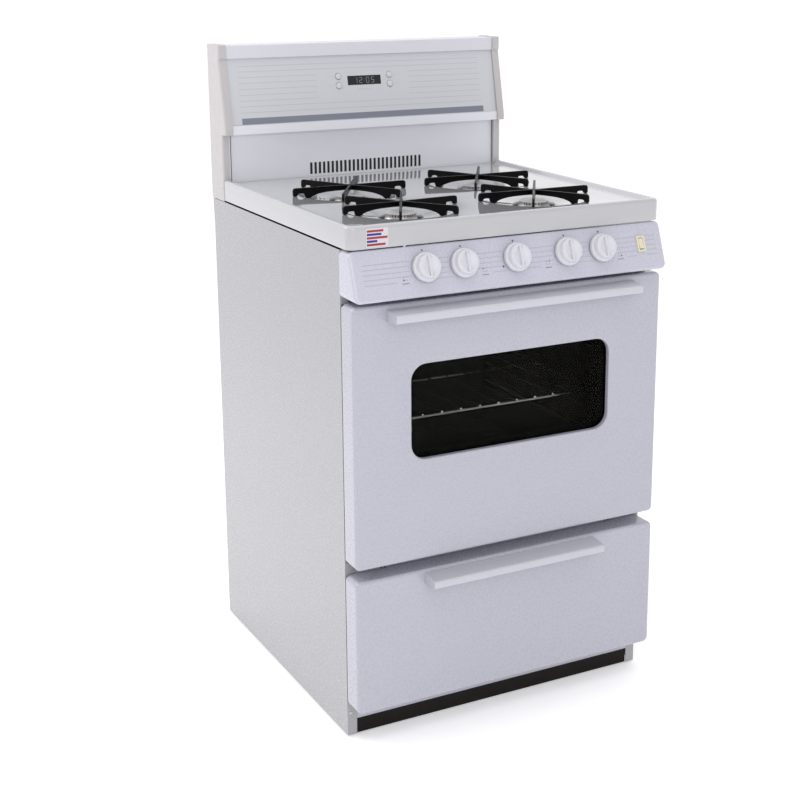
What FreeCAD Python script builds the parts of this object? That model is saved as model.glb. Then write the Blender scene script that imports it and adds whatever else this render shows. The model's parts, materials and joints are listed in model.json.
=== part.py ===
"""Freestanding gas range, 24 inches wide, as an assembly of separate pieces.

Millimetres, +Z up. The origin is on the floor under the middle of the range. +X is the
user's right, and the front of the range faces -Y.
"""
import FreeCAD, Part
import math
import os
import Sketcher

V = FreeCAD.Vector
UP = V(0, 0, 1)
RIGHT = V(1, 0, 0)
REAR = V(0, 1, 0)
PLANE_NORMALS = {"XY_Plane": UP, "XZ_Plane": -REAR, "YZ_Plane": RIGHT}

doc = FreeCAD.newDocument("gas_range")
nodes = []


# ---------------------------------------------------------------- driving dimensions

DIMENSIONS = {
    # overall planes, all in the range's own frame
    "half_width": 305, "body_half_width": 304, "sheet": 1.2,
    "cooktop_front": -292, "body_front": -256, "body_rear": 333, "guard_rear": 338,
    "door_front": -301.5, "door_back": -259, "handle_front": -338,
    "body_foot": 3, "body_top": 871.5, "flange_width": 18,
    # cooktop
    "rim_height": 914, "surface_height": 907, "skirt_bottom": 875, "rim_width": 9,
    "rim_slope": 9, "cooktop_rear": 279, "rim_rear": 268, "rim_corner": 14, "rim_round": 5,
    "bowl_radius": 97, "bowl_wall": 5, "bowl_drop": 5.5, "bowl_floor": 894, "hole_radius": 38,
    "burner_spread": 134.5, "front_burner": -141, "rear_burner": 68,
    "top_pivot_y": 275, "top_pivot_z": 903.2, "top_pin_radius": 2.5,
    # burners and gas
    "burner_radius": 29, "cap_radius": 27, "burner_top": 900, "cap_top": 904,
    "tube_height": 848, "tube_radius": 10, "manifold_y": -247, "manifold_z": 805,
    "manifold_radius": 10.65, "supply_x": 270, "supply_radius": 8, "inlet_x": 225, "inlet_z": 110,
    "inlet_radius": 10.67, "thread_length": 18,
    # grates
    "grate_top": 922, "grate_reach": 113, "blade_thickness": 4.5, "blade_depth": 7.5,
    "outer_foot": 8, "inner_foot_bottom": 901.6, "hub_radius": 8,
    # control panel and knobs
    "panel_top": 872, "panel_bottom": 791.5, "panel_high_y": -290, "panel_low_y": -317.5,
    "panel_nose_z": 797, "knob_height": 837.5, "inner_knobs": 101.5, "outer_knobs": 172.7,
    "knob_radius": 25, "knob_cap_radius": 22, "knob_gap": 4, "knob_skirt": 6, "knob_depth": 19,
    "stem_radius": 4, "stem_clearance": 0.05, "stem_flat": 2.4, "stem_reach": 16,
    "stem_inner": 36, "valve_rear": 42, "valve_length": 22,
    "switch_x": 257, "switch_width": 17, "switch_length": 28,
    # door
    "door_bottom": 327, "door_top": 782.5, "door_round": 8, "window_half_width": 197.5,
    "window_low": 507, "window_high": 674, "window_corner": 28, "window_return": 9,
    "hinge_y": -277, "hinge_z": 331, "hinge_pin": 4, "hinge_x": 253,
    "handle_half_width": 242, "handle_top": 774, "handle_lip": 13, "handle_root": 21,
    # drawer
    "drawer_bottom": 62, "drawer_top": 304, "tray_half_width": 245, "tray_low": 84,
    "tray_high": 200, "tray_rear": 200, "drawer_handle_half_width": 174, "drawer_handle_top": 300,
    # oven
    "oven_half_width": 230, "oven_low": 372, "oven_high": 756, "oven_rear": 210,
    "rack_height": 552, "rack_wire": 3, "cross_wire": 2, "rack_front": -217, "rack_pitch": 38.2,
    # backguard
    "guard_top": 1167, "guard_inner": 288.6, "column_front": 274, "wall_front": 281,
    "wall_low": 903, "lip_front": 259, "lip_bottom": 1000, "lip_top": 1017,
    "slope_low_y": 262, "slope_high_y": 286, "slope_high_z": 1141, "top_cap_front": 282,
    "cap_proud": 4, "vent_half_width": 119.6, "vent_low": 912, "vent_high": 935,
    "vent_width": 5.4, "display_x": -4.5, "display_half_width": 36, "display_height": 18,
    "display_centre": 75.8, "button_radius": 6.3, "button_side": 55.5, "button_rise": 9,
}


class Size:
    """A number that carries the spreadsheet expression it comes from."""

    def __init__(self, value, text=None):
        self.value = float(value)
        self.text = text or f"({self.value:.6g})"

    def __add__(self, other):
        other = size(other)
        return Size(self.value + other.value, f"({self.text} + {other.text})")

    def __sub__(self, other):
        other = size(other)
        return Size(self.value - other.value, f"({self.text} - {other.text})")

    def __mul__(self, factor):
        factor = size(factor)
        return Size(self.value * factor.value, f"({self.text} * {factor.text})")

    def __truediv__(self, factor):
        return Size(self.value / factor, f"({self.text} / {factor})")

    def __neg__(self):
        return Size(-self.value, f"(-1 * {self.text})")

    __radd__ = __add__
    __rmul__ = __mul__

    def __rsub__(self, other):
        return size(other) - self


def size(number):
    return number if isinstance(number, Size) else Size(number)


class Dimensions:
    """The driving dimensions, each as a Size bound to its spreadsheet cell."""


def make_sheet():
    sheet = doc.addObject("Spreadsheet::Sheet", "dims")
    for row, (alias, value) in enumerate(DIMENSIONS.items(), start=1):
        sheet.set(f"A{row}", alias)
        sheet.set(f"B{row}", str(value))
        sheet.setAlias(f"B{row}", alias)
        setattr(Dimensions, alias, Size(value, f"dims.{alias}"))
    doc.recompute()


make_sheet()
d = Dimensions


# ---------------------------------------------------------------- modelling helpers

def bind(item, name, number):
    item.setExpression(name, size(number).text)


def place(item, x, y, z, rotation=None):
    item.Placement = FreeCAD.Placement(V(), rotation or FreeCAD.Rotation())
    for axis, number in zip("xyz", (x, y, z)):
        bind(item, f"Placement.Base.{axis}", number)
    return item


def box(label, x, y, z):
    """A block between the (low, high) pair of each axis."""
    item = doc.addObject("Part::Box", label)
    for name, (low, high) in zip(("Length", "Width", "Height"), (x, y, z)):
        bind(item, name, size(high) - low)
    return place(item, x[0], y[0], z[0])


def cylinder(label, radius, height, foot, axis=UP):
    item = doc.addObject("Part::Cylinder", label)
    bind(item, "Radius", radius)
    bind(item, "Height", height)
    return place(item, *foot, FreeCAD.Rotation(UP, axis))


def fuse(label, *items):
    item = doc.addObject("Part::MultiFuse", label)
    item.Shapes = list(items)
    item.Refine = True
    return item


def cut(label, base, *tools):
    item = doc.addObject("Part::Cut", label)
    item.Base = base
    item.Tool = tools[0] if len(tools) == 1 else fuse(f"{label}_tools", *tools)
    return item


def group(label, *items):
    item = doc.addObject("Part::Compound", label)
    item.Links = list(items)
    return item


def node(item):
    """Register a finished sub-part under its own label."""
    nodes.append(item)
    return item


def outline(*points):
    """A closed straight-sided loop through the (across, up) points."""
    def draw(sketch):
        first = sketch.GeometryCount
        places = [V(size(a).value, size(b).value, 0) for a, b in points]
        for start, end in zip(places, places[1:] + places[:1]):
            sketch.addGeometry(Part.LineSegment(start, end))
        for index, (across, up) in enumerate(points):
            line = first + index
            following = first + (index + 1) % len(points)
            sketch.addConstraint(Sketcher.Constraint("Coincident", line, 2, following, 1))
            for kind, number in (("DistanceX", across), ("DistanceY", up)):
                pin = Sketcher.Constraint(kind, -1, 1, line, 1, size(number).value)
                bind(sketch, f"Constraints[{sketch.addConstraint(pin)}]", number)
    return draw


def rectangle(x, y):
    return outline((x[0], y[0]), (x[1], y[0]), (x[1], y[1]), (x[0], y[1]))


def circle(centre_x, centre_y, radius):
    def draw(sketch):
        middle = V(size(centre_x).value, size(centre_y).value, 0)
        ring = sketch.addGeometry(Part.Circle(middle, UP, size(radius).value))
        for kind, number in (("DistanceX", centre_x), ("DistanceY", centre_y)):
            pin = Sketcher.Constraint(kind, -1, 1, ring, 3, size(number).value)
            bind(sketch, f"Constraints[{sketch.addConstraint(pin)}]", number)
        pin = Sketcher.Constraint("Radius", ring, size(radius).value)
        bind(sketch, f"Constraints[{sketch.addConstraint(pin)}]", radius)
    return draw


def rounded_rectangle(x, y, radius):
    """A rectangle between (low, high) pairs, with quarter-circle corners."""
    def draw(sketch):
        first = sketch.GeometryCount
        r = size(radius).value
        x0, x1 = (size(number).value for number in x)
        y0, y1 = (size(number).value for number in y)
        centres = [(x[1], y[1], -1, -1), (x[0], y[1], 1, -1), (x[0], y[0], 1, 1), (x[1], y[0], -1, 1)]
        for turn, (across, up, step_x, step_y) in enumerate(centres):
            middle = V(size(across).value + step_x * r, size(up).value + step_y * r, 0)
            arc = Part.Circle(middle, UP, r)
            sketch.addGeometry(Part.ArcOfCircle(arc, turn * math.pi / 2, (turn + 1) * math.pi / 2))
        sides = [((x1 - r, y1), (x0 + r, y1)), ((x0, y1 - r), (x0, y0 + r)),
                 ((x0 + r, y0), (x1 - r, y0)), ((x1, y0 + r), (x1, y1 - r))]
        for start, end in sides:
            sketch.addGeometry(Part.LineSegment(V(*start, 0), V(*end, 0)))
        for turn, (across, up, step_x, step_y) in enumerate(centres):
            arc = first + turn
            side = first + 4 + turn
            following = first + (turn + 1) % 4
            sketch.addConstraint(Sketcher.Constraint("Tangent", arc, 2, side, 1))
            sketch.addConstraint(Sketcher.Constraint("Tangent", side, 2, following, 1))
            for kind, edge, step in (("DistanceX", across, step_x), ("DistanceY", up, step_y)):
                number = size(edge) + size(radius) * step
                pin = Sketcher.Constraint(kind, -1, 1, arc, 3, number.value)
                bind(sketch, f"Constraints[{sketch.addConstraint(pin)}]", number)
            pin = Sketcher.Constraint("Radius", arc, r)
            bind(sketch, f"Constraints[{sketch.addConstraint(pin)}]", radius)
    return draw


def new_body(label):
    return doc.addObject("PartDesign::Body", label)


def origin_feature(body, role):
    return next(item for item in body.Origin.OriginFeatures if item.Role == role)


def new_sketch(body, plane, level, loops):
    """A sketch on the body's origin plane, moved to that level along its world axis."""
    sketch = body.newObject("Sketcher::SketchObject", f"{body.Name}_sketch")
    sketch.AttachmentSupport = (origin_feature(body, plane), "")
    sketch.MapMode = "FlatFace"
    facing = sum(PLANE_NORMALS[plane])
    bind(sketch, "AttachmentOffset.Base.z", size(level) * facing)
    for draw in loops:
        draw(sketch)
    return sketch


def extrude(body, kind, plane, start, end, loops):
    sketch = new_sketch(body, plane, start, loops)
    feature = body.newObject(f"PartDesign::{kind}", f"{body.Name}_{kind.lower()}")
    feature.Profile = sketch
    travel = size(end) - start
    along = travel.value * sum(PLANE_NORMALS[plane]) > 0
    feature.Reversed = along == (kind == "Pocket")
    bind(feature, "Length", travel if travel.value > 0 else -travel)
    doc.recompute()
    return feature


def pad(body, plane, start, end, *loops):
    return extrude(body, "Pad", plane, start, end, loops)


def pocket(body, plane, start, end, *loops):
    before = body.Shape.Volume
    feature = extrude(body, "Pocket", plane, start, end, loops)
    if body.Shape.Volume > before - 1e-3:
        raise RuntimeError(f"a pocket of {body.Label} cuts nothing")
    return feature


def revolve(body, plane, axis, *loops):
    sketch = new_sketch(body, plane, 0, loops)
    feature = body.newObject("PartDesign::Revolution", f"{body.Name}_revolution")
    feature.Profile = sketch
    feature.ReferenceAxis = (sketch, [axis])
    feature.Angle = 360
    doc.recompute()
    return feature


def dress(body, kind, name, amount, chosen):
    """Fillet, chamfer or hollow the chosen edges or faces of the body's tip."""
    base = body.Tip
    feature = body.newObject(f"PartDesign::{kind}", f"{body.Name}_{kind.lower()}")
    feature.Base = (base, chosen)
    bind(feature, name, amount)
    return feature


def round_edges(body, radius, wanted):
    chosen = [f"Edge{i}" for i, edge in enumerate(body.Shape.Edges, start=1) if wanted(edge.BoundBox)]
    feature = dress(body, "Fillet", "Radius", radius, chosen)
    doc.recompute()
    return feature


def hollow(body, wall, wanted):
    """Turn the body into a shell of that wall, open at the wanted faces."""
    chosen = [f"Face{i}" for i, face in enumerate(body.Shape.Faces, start=1) if wanted(face.BoundBox)]
    feature = dress(body, "Thickness", "Value", wall, chosen)
    feature.Reversed = True
    doc.recompute()
    return feature


def near(number, target):
    return abs(number - size(target).value) < 0.01


def pattern(body, features, direction, length, count):
    """Repeat the features in a row. Direction is an origin axis role."""
    item = body.newObject("PartDesign::LinearPattern", f"{body.Name}_row")
    item.Originals = features
    item.Direction = (origin_feature(body, direction), [""])
    bind(item, "Length", length)
    item.Occurrences = count
    body.Tip = item
    doc.recompute()
    return item


def spin(body, features, count):
    """Repeat the features round the body's Z axis."""
    item = body.newObject("PartDesign::PolarPattern", f"{body.Name}_ring")
    item.Originals = features
    item.Axis = (origin_feature(body, "Z_Axis"), [""])
    item.Angle = 360
    item.Occurrences = count
    body.Tip = item
    doc.recompute()
    return item


def both_sides(half_width):
    return (-size(half_width), size(half_width))


def span(side, start, end):
    """The (low, high) pair between two distances out from the middle, on one side."""
    return sorted((size(start) * side, size(end) * side), key=lambda number: number.value)


# ---------------------------------------------------------------- cabinet

def side_panel(label, side):
    """A folded side panel with front and rear flanges and a kicked-out top rear corner."""
    body = new_body(label)
    outer = d.body_half_width * side
    inner = outer - d.sheet * side
    lip = outer - d.flange_width * side
    pad(body, "XY_Plane", d.body_foot, d.body_top, outline(
        (outer, d.body_front), (lip, d.body_front), (lip, d.body_front + d.sheet),
        (inner, d.body_front + d.sheet), (inner, d.body_rear - d.sheet),
        (lip, d.body_rear - d.sheet), (lip, d.body_rear), (outer, d.body_rear)))
    pad(body, "YZ_Plane", inner, outer, outline(
        (d.body_rear - 5, d.body_top - 50), (d.body_rear, d.body_top - 50),
        (d.guard_rear - 1, d.body_top), (d.body_rear - 5, d.body_top)))
    return node(body)


def rear_panel():
    body = new_body("rear_panel")
    rear = d.body_rear - d.sheet - 0.1
    pad(body, "XZ_Plane", rear - d.sheet, rear,
        rectangle(both_sides(d.body_half_width - d.sheet - 0.2), (14, d.body_top - 4)),
        circle(d.inlet_x, d.inlet_z, 25))
    return node(body)


def front_frame():
    """The flat face frame, open for the oven and for the broiler drawer."""
    body = new_body("front_frame")
    half = d.body_half_width - d.flange_width - 0.3
    pad(body, "XZ_Plane", d.body_front, d.body_front + d.sheet,
        rectangle(both_sides(half), (32, d.panel_bottom - 1)),
        rounded_rectangle(both_sides(d.oven_half_width + 2), (d.oven_low, d.oven_high + 2), 12),
        rounded_rectangle(both_sides(262), (70, 300), 8))
    for side in (-1, 1):
        pocket(body, "XZ_Plane", d.body_front - 1, d.body_front + 5,
               rectangle(span(side, d.hinge_x, d.hinge_x + 13), (d.hinge_z - 10, d.hinge_z + 10)))
    return node(body)


def base_frame():
    """Four angle rails at the bottom, drilled for the levelling feet."""
    half = d.body_half_width - d.sheet - 0.2
    front = d.body_front + 6
    rear = d.body_rear - 4
    rails = []
    for side in (-1, 1):
        rails.append(box("side_rail_wall", span(side, half - 1.5, half), (front, rear), (14, 46)))
        rails.append(box("side_rail_ledge", span(side, half - 60, half), (front, rear), (14, 15.5)))
    for low in (front, rear - 40):
        rails.append(box("cross_rail", both_sides(half - 1), (low, low + 40), (14, 15.5)))
    holes = [cylinder("foot_hole", 4.3, 10, (x, y, 10)) for x, y in foot_places()]
    return node(cut("base_frame", fuse("base_rails", *rails), *holes))


def foot_places():
    reach = d.body_half_width - 40
    return [(reach * side, y) for side in (-1, 1) for y in (d.body_front + 40, d.body_rear - 30)]


def levelling_feet():
    feet = []
    for x, y in foot_places():
        pad_disc = cylinder("foot_pad", 17, 8, (x, y, 0))
        stem = cylinder("foot_stem", 4, 24, (x, y, 8))
        nut = cylinder("foot_nut", 8, 5.9, (x, y, 8))
        feet.append(fuse("foot", pad_disc, stem, nut))
    return node(group("levelling_feet", *feet))


def kick_plate():
    front = d.body_front + d.sheet + 0.2
    half = d.body_half_width - d.flange_width - 1
    return node(box("kick_plate", both_sides(half), (front, front + d.sheet), (d.body_foot, 45)))


# ---------------------------------------------------------------- oven

def oven_cavity():
    """The oven liner: separate folded sheets for the sides, top, bottom and back, and rack ledges."""
    wall = d.sheet
    seam = 0.05
    rim = 10
    half = d.oven_half_width
    low = d.oven_low - wall
    high = d.oven_high + wall
    front = d.body_front + wall + 0.1
    rear = d.oven_rear + wall
    depth = (front, rear)
    fold = (front, front + wall)
    width = both_sides(half - seam)
    shelf = d.rack_height - d.rack_wire - 0.3
    sheets = []
    for side in (-1, 1):
        panel = box("liner_side_sheet", span(side, half, half + wall), depth, (low, high))
        flange = box("liner_side_flange", span(side, half, half + wall + rim), fold,
                     (low - rim, high + rim))
        sheets.append(fuse("liner_side", panel, flange))
        for level in (shelf - 82, shelf, shelf + 82):
            sheets.append(box("rack_ledge", span(side, half - 9, half - seam),
                              (d.rack_front, d.oven_rear - 20), (level - 4, level)))
    top = box("liner_top_sheet", width, depth, (d.oven_high, high))
    sheets.append(fuse("liner_top", top, box("liner_top_flange", width, fold, (high, high + rim))))
    bottom = box("liner_bottom_sheet", width, depth, (low, d.oven_low))
    bottom_flange = box("liner_bottom_flange", width, fold, (low - rim, low))
    opening = box("flame_opening", both_sides(half - 25), (front + 25, d.oven_rear - 25),
                  (low - 2, d.oven_low + 2))
    sheets.append(cut("liner_bottom", fuse("liner_bottom_blank", bottom, bottom_flange), opening))
    back = box("liner_back_sheet", width, (d.oven_rear, rear), (d.oven_low + seam, d.oven_high - seam))
    lamp_hole = cylinder("lamp_hole", 18.3, 10, (-130, d.oven_rear - 5, d.oven_high - 55), REAR)
    sheets.append(cut("liner_back", back, lamp_hole))
    return node(group("oven_cavity", *sheets))


def oven_floor():
    """The lift-out oven bottom with rows of slots along both sides."""
    body = new_body("oven_floor")
    low = d.oven_low + 0.2
    half = d.oven_half_width - 3
    front = d.body_front + 6
    slab = pad(body, "XY_Plane", low, low + d.sheet, rectangle(both_sides(half), (front, d.oven_rear - 3)))
    slots = []
    for side in (-1, 1):
        slots.append(pocket(body, "XY_Plane", low - 1, low + 5,
                            rectangle(span(side, half - 45, half - 15), (front + 40, front + 46))))
    pattern(body, slots, "Y_Axis", d.oven_rear - d.body_front - 110, 12)
    return node(body)


def oven_burner():
    """The tube burner below the oven floor, with its flame spreader above it."""
    front = d.body_front + 60
    rear = d.oven_rear - 60
    height = 334
    tube = cylinder("burner_pipe", 15, rear - front, (0, front, height), REAR)
    bore = cylinder("burner_bore", 13.5, rear - front - 3, (0, front - 0.5, height), REAR)
    pipe = cut("burner_shell", tube, bore)
    hanger = d.oven_low - d.sheet - 0.2
    rear_bracket = box("burner_bracket", (-12, 12), (rear - 2, rear), (height + 5, hanger - 12))
    spreader = box("spreader_plate", (-115, 115), (front + 30, rear), (hanger - 13.5, hanger - 12))
    legs = [box("spreader_leg", (x, x + 1.5), (front + 60, rear - 30), (hanger - 13.5, hanger))
            for x in (-115, 113.5)]
    return node(fuse("oven_burner", pipe, rear_bracket, spreader, *legs))


def oven_rack():
    """A wire rack: a heavy frame with thinner wires running front to back."""
    side = d.oven_half_width - 5
    front = d.rack_front + d.rack_wire
    rear = d.oven_rear - 14
    wires = []
    for y in (front, rear):
        wires.append(cylinder("rack_bar", d.rack_wire, side * 2, (-side, y, d.rack_height), RIGHT))
    middle = (front + rear) / 2
    wires.append(cylinder("rack_bar", d.rack_wire, side * 2, (-side, middle, d.rack_height), RIGHT))
    for x in (-side, side):
        wires.append(cylinder("rack_side", d.rack_wire, rear - front, (x, front, d.rack_height), REAR))
    lift = d.rack_wire + d.cross_wire - 1
    for index in range(12):
        x = d.rack_pitch * (index - 5.5)
        wires.append(cylinder("rack_wire", d.cross_wire, rear - front + 6,
                              (x, front - 3, d.rack_height + lift), REAR))
    return node(fuse("oven_rack", *wires))


def oven_lamp():
    """A lamp in the oven's rear wall: glass dome in front, holder behind."""
    x = Size(-130)
    z = d.oven_high - 55
    dome = doc.addObject("Part::Sphere", "lamp_dome")
    bind(dome, "Radius", 17)
    place(dome, x, d.oven_rear - 4, z)
    stem = cylinder("lamp_stem", 18, 40, (x, d.oven_rear - 6, z), REAR)
    flange = cylinder("lamp_flange", 24, 3, (x, d.oven_rear - 3.2, z), REAR)
    return node(fuse("oven_lamp", dome, stem, flange))


# ---------------------------------------------------------------- control panel

class SlopingFace:
    """A flat face that leans back as it rises, square to which pieces stand."""

    def __init__(self, low_y, low_z, high_y, high_z):
        self.low_y = low_y
        self.low_z = low_z
        self.lean = math.atan2((high_y - low_y).value, (high_z - low_z).value)
        self.turn = FreeCAD.Rotation(RIGHT, 90 - math.degrees(self.lean))

    def put(self, item, x, along, out=0):
        """Stand an item made along +Z at x, a distance up the slope, and a height off the face."""
        y = self.low_y + size(along) * math.sin(self.lean) - size(out) * math.cos(self.lean)
        z = self.low_z + size(along) * math.cos(self.lean) + size(out) * math.sin(self.lean)
        return place(item, x, y, z, self.turn)


CONTROL_FACE = SlopingFace(d.panel_low_y, d.panel_nose_z, d.panel_high_y, d.panel_top)
KNOB_LINE = (d.knob_height - d.panel_nose_z) * (1 / math.cos(CONTROL_FACE.lean))


def knob_places():
    return {"front_left": -d.outer_knobs, "rear_left": -d.inner_knobs, "oven": Size(0),
            "rear_right": d.inner_knobs, "front_right": d.outer_knobs}


def control_panel():
    """The pressed front panel: sloping face, rounded nose and closed ends, open at the back."""
    body = new_body("control_panel_shell")
    back = d.body_front - 0.3
    pad(body, "YZ_Plane", -d.half_width, d.half_width, outline(
        (back, d.panel_bottom), (back, d.panel_top), (d.panel_high_y, d.panel_top),
        (d.panel_low_y, d.panel_nose_z), (d.panel_low_y + 3, d.panel_bottom)))
    doc.recompute()

    def slanted_corner(bounds):
        return (near(abs(bounds.XMin), d.half_width) and near(bounds.XLength, 0)
                and near(bounds.YMax, d.panel_high_y) and bounds.ZLength > 30)
    round_edges(body, 11, slanted_corner)

    def front_edge(bounds):
        return bounds.YMax < d.panel_high_y.value + 12 and bounds.XLength > 300
    round_edges(body, 2.5, front_edge)
    hollow(body, d.sheet, lambda bounds: near(bounds.YMin, back) and near(bounds.YMax, back))
    tools = []
    for x in knob_places().values():
        hole = cylinder("stem_hole", 5.5, 30, (0, 0, 0))
        tools.append(CONTROL_FACE.put(hole, x, KNOB_LINE, -15))
    width = d.switch_width / 2 - 1.5
    length = d.switch_length / 2 - 1.5
    window = box("switch_hole", (0, width * 2), (0, length * 2), (0, 28))
    tools.append(CONTROL_FACE.put(window, d.switch_x - width, KNOB_LINE - length, -20))
    return node(cut("control_panel", body, *tools))


def valve_stem(label, x):
    """A round valve stem with a flat on its outer end."""
    body = new_body(label)
    pad(body, "XY_Plane", -d.stem_inner, d.stem_reach, circle(0, 0, d.stem_radius))
    pocket(body, "XY_Plane", 0.5, d.stem_reach + 1, rectangle((-10, 10), (d.stem_flat, 10)))
    return node(CONTROL_FACE.put(body, x, KNOB_LINE))


def knob(label, x):
    """A push-and-turn knob: skirt, tapered cap, two finger scoops and a flatted bore."""
    body = new_body(label)
    foot = d.knob_gap
    top = foot + d.knob_depth
    revolve(body, "XZ_Plane", "V_Axis", outline(
        (0, foot), (d.knob_radius - 1, foot), (d.knob_radius, foot + 1.5),
        (d.knob_radius - 0.5, foot + d.knob_skirt), (d.knob_cap_radius, foot + d.knob_skirt + 1.5),
        (d.knob_cap_radius - 1.5, top - 2), (d.knob_cap_radius - 4, top), (0, top)))
    for side in (-1, 1):
        pocket(body, "XZ_Plane", -40, 40, outline(
            (3.2 * side, top + 1), (4.5 * side, foot + 9), (16 * side, foot + 9.5),
            (24 * side, top + 1)))
    bore = d.stem_radius + d.stem_clearance
    flat = d.stem_flat + d.stem_clearance
    pocket(body, "XY_Plane", foot - 1, foot + 16, circle(0, 0, bore))
    pad(body, "XY_Plane", foot, foot + 16.5, rectangle((-bore, bore), (flat, flat + 3)))
    return node(CONTROL_FACE.put(body, x, KNOB_LINE))


def squared(label, item, x, y, z, reach):
    """An item round that point with flats at the reach, for the pipes to butt on."""
    block = box(f"{label}_block", (x - reach, x + reach), (y - reach, y + reach), (z - reach, z + reach))
    shaped = doc.addObject("Part::Common", label)
    shaped.Base = item
    shaped.Tool = block
    return shaped


def elbow(label, y, z, radius, reach):
    ball = doc.addObject("Part::Sphere", f"{label}_ball")
    bind(ball, "Radius", radius)
    place(ball, d.supply_x, y, z)
    return squared(label, ball, d.supply_x, y, z, reach)


def gas_manifold():
    """The manifold pipe behind the panel, the supply pipe to the rear, the regulator and the inlet."""
    seam = 0.05
    large = 12
    small = 10
    shoulder = 22.5
    left = -d.outer_knobs - 30
    rear = d.body_rear - 45
    x = d.inlet_x
    z = d.inlet_z
    inlet_end = d.guard_rear - 3
    thread_start = inlet_end - d.thread_length
    neck_start = rear + shoulder + seam
    cross_start = x + shoulder + seam
    run_start = d.manifold_y + large + seam
    drop_start = z + small + seam
    regulator = cylinder("regulator_round", 24, 34, (x, rear, z - 17))
    neck = cylinder("inlet_neck", 8.5, thread_start - neck_start, (x, neck_start, z), REAR)
    thread = cylinder("inlet_thread", d.inlet_radius, d.thread_length, (x, thread_start, z), REAR)
    bore = cylinder("inlet_bore", 6.5, 20, (x, inlet_end - 15, z), REAR)
    pieces = [
        cylinder("manifold_pipe", d.manifold_radius, d.supply_x - large - seam - left,
                 (left, d.manifold_y, d.manifold_z), RIGHT),
        elbow("front_elbow", d.manifold_y, d.manifold_z, 16, large),
        cylinder("supply_run", d.supply_radius, rear - small - seam - run_start,
                 (d.supply_x, run_start, d.manifold_z), REAR),
        elbow("rear_elbow", rear, d.manifold_z, 13, small),
        cylinder("supply_drop", d.supply_radius, d.manifold_z - small - seam - drop_start,
                 (d.supply_x, rear, drop_start)),
        elbow("foot_elbow", rear, z, 13, small),
        cylinder("inlet_cross", d.supply_radius, d.supply_x - small - seam - cross_start,
                 (cross_start, rear, z), RIGHT),
        squared("regulator_body", regulator, x, rear, z, shoulder),
        cylinder("regulator_cap", 14, 12, (x, rear, z + 17 + seam)),
        cut("inlet_nipple", fuse("inlet_blank", neck, thread), bore)]
    return node(group("gas_manifold", *pieces))


def burner_valves():
    """One valve on the manifold behind every knob."""
    valves = []
    for x in knob_places().values():
        barrel = cylinder("valve_barrel", 10.5, d.valve_length, (0, 0, 0))
        CONTROL_FACE.put(barrel, x, KNOB_LINE, -d.valve_rear)
        hole = cylinder("valve_bore", d.stem_radius + d.stem_clearance, d.valve_length, (0, 0, 0))
        CONTROL_FACE.put(hole, x, KNOB_LINE, -d.stem_inner - 1)
        saddle_foot = d.manifold_z + d.manifold_radius + 0.1
        saddle = box("valve_saddle", (x - 7, x + 7), (d.manifold_y - 22, d.manifold_y + 4),
                     (saddle_foot, saddle_foot + 9))
        nozzle = cylinder("valve_nozzle", 5, 36, (x, d.manifold_y - 14, d.tube_height - 21), V(0, 1, 0.45))
        valves.append(cut("burner_valve", fuse("valve_body", barrel, saddle, nozzle), hole))
    return node(group("burner_valves", *valves))


def light_switch():
    """The bezel and the rocker of the oven lamp switch."""
    half_width = d.switch_width / 2
    half_length = d.switch_length / 2
    bezel = new_body("switch_bezel")
    pad(bezel, "XY_Plane", 0.2, 3, rectangle(both_sides(half_width), both_sides(half_length)))
    pad(bezel, "XY_Plane", -14, 0.2, rectangle(both_sides(half_width - 2), both_sides(half_length - 2)))
    pocket(bezel, "XY_Plane", -12, 4, rectangle(both_sides(half_width - 3.5), both_sides(half_length - 3.5)))
    node(CONTROL_FACE.put(bezel, d.switch_x, KNOB_LINE))
    rocker = new_body("light_switch_rocker")
    length = half_length - 4.6
    pad(rocker, "YZ_Plane", -(half_width - 4.2), half_width - 4.2, outline(
        (-length, 5), (0, 2.6), (length, 2.6), (length - 2, -4), (0, -6), (2 - length, -4)))
    return node(CONTROL_FACE.put(rocker, d.switch_x, KNOB_LINE))


# ---------------------------------------------------------------- cooktop

def burner_places():
    out = d.burner_spread
    return {"front_left": (-out, d.front_burner), "front_right": (out, d.front_burner),
            "rear_left": (-out, d.rear_burner), "rear_right": (out, d.rear_burner)}


RIM_TAPER = math.degrees(math.atan2(DIMENSIONS["rim_slope"],
                                     DIMENSIONS["rim_height"] - DIMENSIONS["surface_height"]))


def pressed_top(label, drop, rear):
    """The outside form of the cooktop, or of the space under its sheet when drop is the sheet."""
    body = new_body(label)
    half = d.half_width - drop
    front = d.cooktop_front + drop
    shoulder = d.guard_inner - 0.6 - drop
    end = d.rim_rear - drop
    low = d.skirt_bottom - drop
    pad(body, "XY_Plane", low, d.rim_height - drop, outline(
        (-half, front), (half, front), (half, end), (shoulder, end), (shoulder, rear),
        (-shoulder, rear), (-shoulder, end), (-half, end)))

    def front_corner(bounds):
        return near(abs(bounds.XMin), half) and near(bounds.YMax, front) and bounds.ZLength > 10
    round_edges(body, d.rim_corner - drop, front_corner)

    def rim_edge(bounds):
        on_top = near(bounds.ZMin, d.rim_height - drop)
        return on_top and (bounds.YMin < front.value + 20 or near(abs(bounds.XMin), half))
    round_edges(body, d.rim_round - drop * 0.5, rim_edge)
    inner = d.half_width - d.rim_width + drop
    inner_front = d.cooktop_front + d.rim_width - drop
    recess = pocket(body, "XY_Plane", d.rim_height - drop, d.surface_height - drop,
                    outline((-inner, inner_front), (inner, inner_front), (inner, d.rim_rear + 40),
                            (-inner, d.rim_rear + 40)))
    recess.TaperAngle = -RIM_TAPER
    doc.recompute()
    return body


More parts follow.
